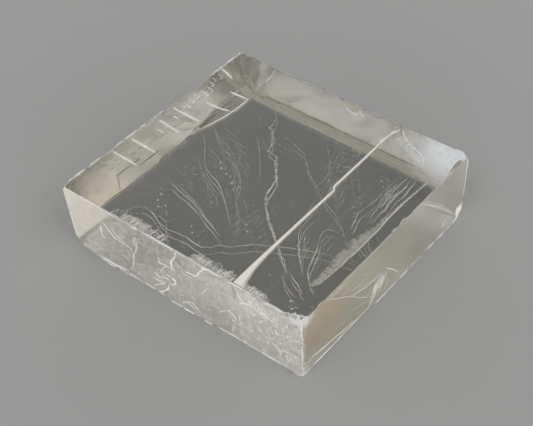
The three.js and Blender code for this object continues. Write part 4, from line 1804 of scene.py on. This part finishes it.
@dataclass
class EdgeWear:
    """The bright line along every edge that still stands, partly crushed white stone and partly a painted
    glint of the edge, and the crumbs beside it.
    """

    edges: tuple[Edge, ...] = (
        Edge(PLAN.upper_front, PLAN.upper_left, PLAN.front_left, PLAN.upper, 0.15, 14),
        Edge(PLAN.upper_front, PLAN.upper_right, PLAN.front_right, PLAN.upper, 0.05, 14),
        Edge(PLAN.upper_right, PLAN.upper_back, PLAN.back_right, PLAN.upper, 0.20, 16),
        Edge(PLAN.upper_back, PLAN.upper_left, PLAN.back_left, PLAN.upper, 0.18, 24),
        Edge(PLAN.upper_front, PLAN.lower_front, PLAN.front_left, PLAN.front_right, 0.22, 90),
        Edge(PLAN.lower_front, PLAN.lower_left, PLAN.front_left, PLAN.lower, 0.20, 110),
        Edge(PLAN.lower_front, PLAN.lower_right, PLAN.front_right, PLAN.lower, 0.20, 120),
        Edge(PLAN.upper_right, PLAN.lower_right, PLAN.front_right, PLAN.back_right, 0.22, 50),
        Edge(PLAN.upper_left, PLAN.lower_left, PLAN.front_left, PLAN.back_left, 0.18, 30),
        Edge(PLAN.lower_left, PLAN.lower_back, PLAN.back_left, PLAN.lower, 0.14, 20),
        Edge(PLAN.lower_right, PLAN.lower_back, PLAN.back_right, PLAN.lower, 0.14, 20),
        Edge(PLAN.upper_back, PLAN.lower_back, PLAN.back_left, PLAN.back_right, 0.12, 8),
    )
    clumps: tuple[tuple[Vector, int, float], ...] = (
        (PLAN.lower_front, 70, 2.2), (PLAN.upper_front, 46, 2.2),
        (PLAN.upper_right, 26, 2.4), (PLAN.lower_right, 30, 2.4),
    )
    step: float = 0.45
    most_lost: float = 1.3
    gleam_points: tuple[int, int] = (6, 18)
    gleam_swell: Pair = (0.5, 1.35)
    gleam_taper: float = 0.6
    crumb_size: Pair = (0.07, 0.22)
    crumb_sunk: float = 0.25
    crumb_spread: float = 0.4
    crumb_reach: float = 1.8
    clump_depth: float = 6.0
    seed: int = 51

    def runs(self, edge: Edge) -> Iterable[list[Vector]]:
        """The stretches of an edge that still stand, as lines on the real surface.

        Args:
            edge: the edge.

        Yields:
            Each stretch's points.
        """
        out = (edge.first.out + edge.second.out).normalized()
        count = int((edge.end - edge.start).length / self.step)
        run: list[Vector] = []
        for index in range(1, count):
            place = edge.start.lerp(edge.end, index / count)
            spot = Seat.find(place, out)
            if spot is not None and (spot - place).length < self.most_lost:
                run.append(spot)
                continue
            if len(run) > 2:
                yield run
            run = []
        if len(run) > 2:
            yield run

    def gleams(self, rng: random.Random) -> None:
        """Builds and dresses the bright lines, thicker here and thinner there.

        Args:
            rng: where the chance comes from.
        """
        # the white lines are partly crushed stone and partly a painted glint along the edges
        strokes = Strokes("edge_gleams")
        for edge in self.edges:
            for run in self.runs(edge):
                begin = 0
                while begin < len(run) - 2:
                    piece = [spot.copy() for spot in run[begin : begin + rng.randint(*self.gleam_points)]]
                    width = edge.width * rng.uniform(*self.gleam_swell)
                    for spot in piece:
                        spot.z = max(spot.z, width * 0.55)
                    if len(piece) > 2:
                        strokes.draw(piece, width, self.gleam_taper)
                    begin += len(piece) - 1
        strokes.finish(Skin.WHITE)

    def crumb_places(self, rng: random.Random) -> Iterable[tuple[Vector, Vector]]:
        """Where the crumbs cling.

        Args:
            rng: where the chance comes from.

        Yields:
            Each crumb's place on the surface, and the way out of the stone there.
        """
        for edge in self.edges:
            heading = (edge.end - edge.start).normalized()
            broad = edge.second in (PLAN.upper, PLAN.lower)
            for _ in range(edge.crumbs):
                face = edge.second if not broad and rng.random() < 0.5 else edge.first
                inward = face.out.cross(heading)
                if inward.dot(PLAN.middle - edge.start) < 0:
                    inward.negate()
                away = min(rng.expovariate(1 / self.crumb_spread), self.crumb_reach)
                found = Seat.find(edge.start.lerp(edge.end, rng.random()) + inward * away, face.out)
                if found is not None:
                    yield found, face.out
        for corner, count, spread in self.clumps:
            out = (corner - PLAN.middle).normalized()
            for _ in range(count):
                stray = Vector((rng.gauss(0, 1), rng.gauss(0, 1), rng.gauss(0, 1)))
                found = Seat.find(corner + stray * spread / 2, out, self.clump_depth)
                if found is not None:
                    yield found, out

    def build(self) -> None:
        """Builds and dresses the gleaming lines as one piece and the crumbs as another."""
        hand = Hand(self.seed)
        self.gleams(hand.rng)
        places = []
        for spot, out in self.crumb_places(hand.rng):
            size = hand.between(self.crumb_size)
            centre = spot - out * size * self.crumb_sunk
            centre.z = max(centre.z, size * 1.05)
            turn = hand.turn("ZX")
            places.append(Matrix.Translation(centre * MM) @ turn @ Matrix.Diagonal((size, size, size, 1)))
        Bench.dress(Bench.copies("edge_crumbs", chip(), places), Skin.WHITE.material)


# ---------------------------------------------------------------- the studio


@dataclass(frozen=True)
class SoftLight:
    """One large soft light."""

    name: str
    place: Triple
    size: Pair
    power: float

    def build(self) -> None:
        """Hangs the light, facing the stone."""
        lamp = bpy.data.lights.new(self.name, "AREA")
        lamp.shape, lamp.energy = "RECTANGLE", self.power
        lamp.size, lamp.size_y = self.size
        light = bpy.data.objects.new(self.name, lamp)
        light.location = self.place
        light.rotation_euler = (-Vector(self.place)).to_track_quat("-Z", "Y").to_euler()
        bpy.context.scene.collection.objects.link(light)


@dataclass
class Studio:
    """A pale table in an even tent of light that is brightest low down, and the camera."""

    floor_tone: Triple = (0.47, 0.47, 0.465)
    floor_drop: float = 0.2
    floor_size: float = 6.0
    speckle: float = 0.985
    tent_low: float = 2.7
    tent_high: float = 0.21
    tent_band: Pair = (0.20, 0.45)
    camera_place: Triple = (52.521, -84.921, 163.94)
    camera_right: Triple = (0.84888, 0.52857, -0.0035)
    camera_down: Triple = (0.44735, -0.72194, -0.5279)
    camera_ahead: Triple = (-0.28156, 0.44656, -0.8493)
    lens: float = 47.255
    sensor: float = 36.0
    clear_bounces: int = 24
    glossy_bounces: int = 12
    diffuse_bounces: int = 6
    lights: tuple[SoftLight, ...] = (
        SoftLight("right_softbox", (0.486, 0.189, 0.73), (0.5, 0.5), 1.2),
        SoftLight("front_softbox", (-0.27, -0.36, 0.783), (0.5, 0.5), 1.2),
    )

    def floor(self) -> None:
        """The table top, a hair below the stone."""
        Bench.clear()
        bpy.ops.mesh.primitive_plane_add(size=self.floor_size, location=(0, 0, -self.floor_drop * MM))
        piece = bpy.context.object
        piece.name = "studio_floor"
        Bench.put_in_place(piece)
        shading = Shading("pale_table")
        darker = tuple(self.speckle * value for value in self.floor_tone)
        colour = shading.tint(shading.noise(0.8, 3.0, 0.5), self.floor_tone, darker)
        shading.feed(Base_Color=colour, Roughness=0.85, Specular_IOR_Level=0.2)
        piece.data.materials.append(shading.material)
        piece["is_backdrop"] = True

    def tent(self) -> None:
        """Light from all round, brightest near the level of the table."""
        world = bpy.data.worlds.new("light_tent")
        world.use_nodes = True
        bpy.context.scene.world = world
        tree = world.node_tree
        place = tree.nodes.new("ShaderNodeTexCoord")
        parts = tree.nodes.new("ShaderNodeSeparateXYZ")
        tree.links.new(place.outputs["Generated"], parts.inputs["Vector"])
        ramp = tree.nodes.new("ShaderNodeMapRange")
        ramp.interpolation_type = "SMOOTHSTEP"
        tree.links.new(parts.outputs["Z"], ramp.inputs["Value"])
        values = (*self.tent_band, self.tent_low, self.tent_high)
        for key, value in zip(("From Min", "From Max", "To Min", "To Max"), values):
            ramp.inputs[key].default_value = value
        tree.links.new(ramp.outputs["Result"], tree.nodes["Background"].inputs["Strength"])
        tree.nodes["Background"].inputs["Color"].default_value = (1.0, 1.0, 1.0, 1.0)

    def camera(self) -> None:
        """The camera, a little above arm's height over the front corner."""
        optics = bpy.data.cameras.new("camera")
        optics.lens, optics.sensor_width, optics.sensor_fit = self.lens, self.sensor, "HORIZONTAL"
        optics.clip_start = 0.005
        camera = bpy.data.objects.new("camera", optics)
        right, up, back = Vector(self.camera_right), -Vector(self.camera_down), -Vector(self.camera_ahead)
        turn = Matrix((right, up, back)).transposed().to_4x4()
        camera.matrix_world = Matrix.Translation(Vector(self.camera_place) * MM) @ turn
        bpy.context.scene.collection.objects.link(camera)
        bpy.context.scene.camera = camera

    def build(self) -> None:
        """Sets up floor, light and camera."""
        self.floor()
        self.tent()
        for light in self.lights:
            light.build()
        self.camera()
        scene = bpy.context.scene
        scene.view_settings.view_transform = "Standard"
        scene.cycles.max_bounces = self.clear_bounces
        scene.cycles.transmission_bounces = self.clear_bounces
        scene.cycles.glossy_bounces = self.glossy_bounces
        scene.cycles.diffuse_bounces = self.diffuse_bounces


def record_size() -> None:
    """Works out the plain solid's box and the dressed stone's box as plain lists, and keeps neither."""
    boxes = {"cad": CAD_BOX, "visual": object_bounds()}
    {key: [list(corner) for corner in box] for key, box in boxes.items()}


def main() -> None:
    """Builds the stone, its cracks and the studio, in order."""
    parts = (
        CleavageBlock(), LongCrack(), CrossTicks(), BackShell(), FeatherVeil(), LowerFaceMarks(), Specks(),
        FrontLeftFractures(), FrontRightFeathers(), RightCornerMarks(), EdgeGills(), EdgeWear(), Studio(),
    )
    for part in parts:
        part.build()
    record_size()


if __name__ == "__main__":
    main()
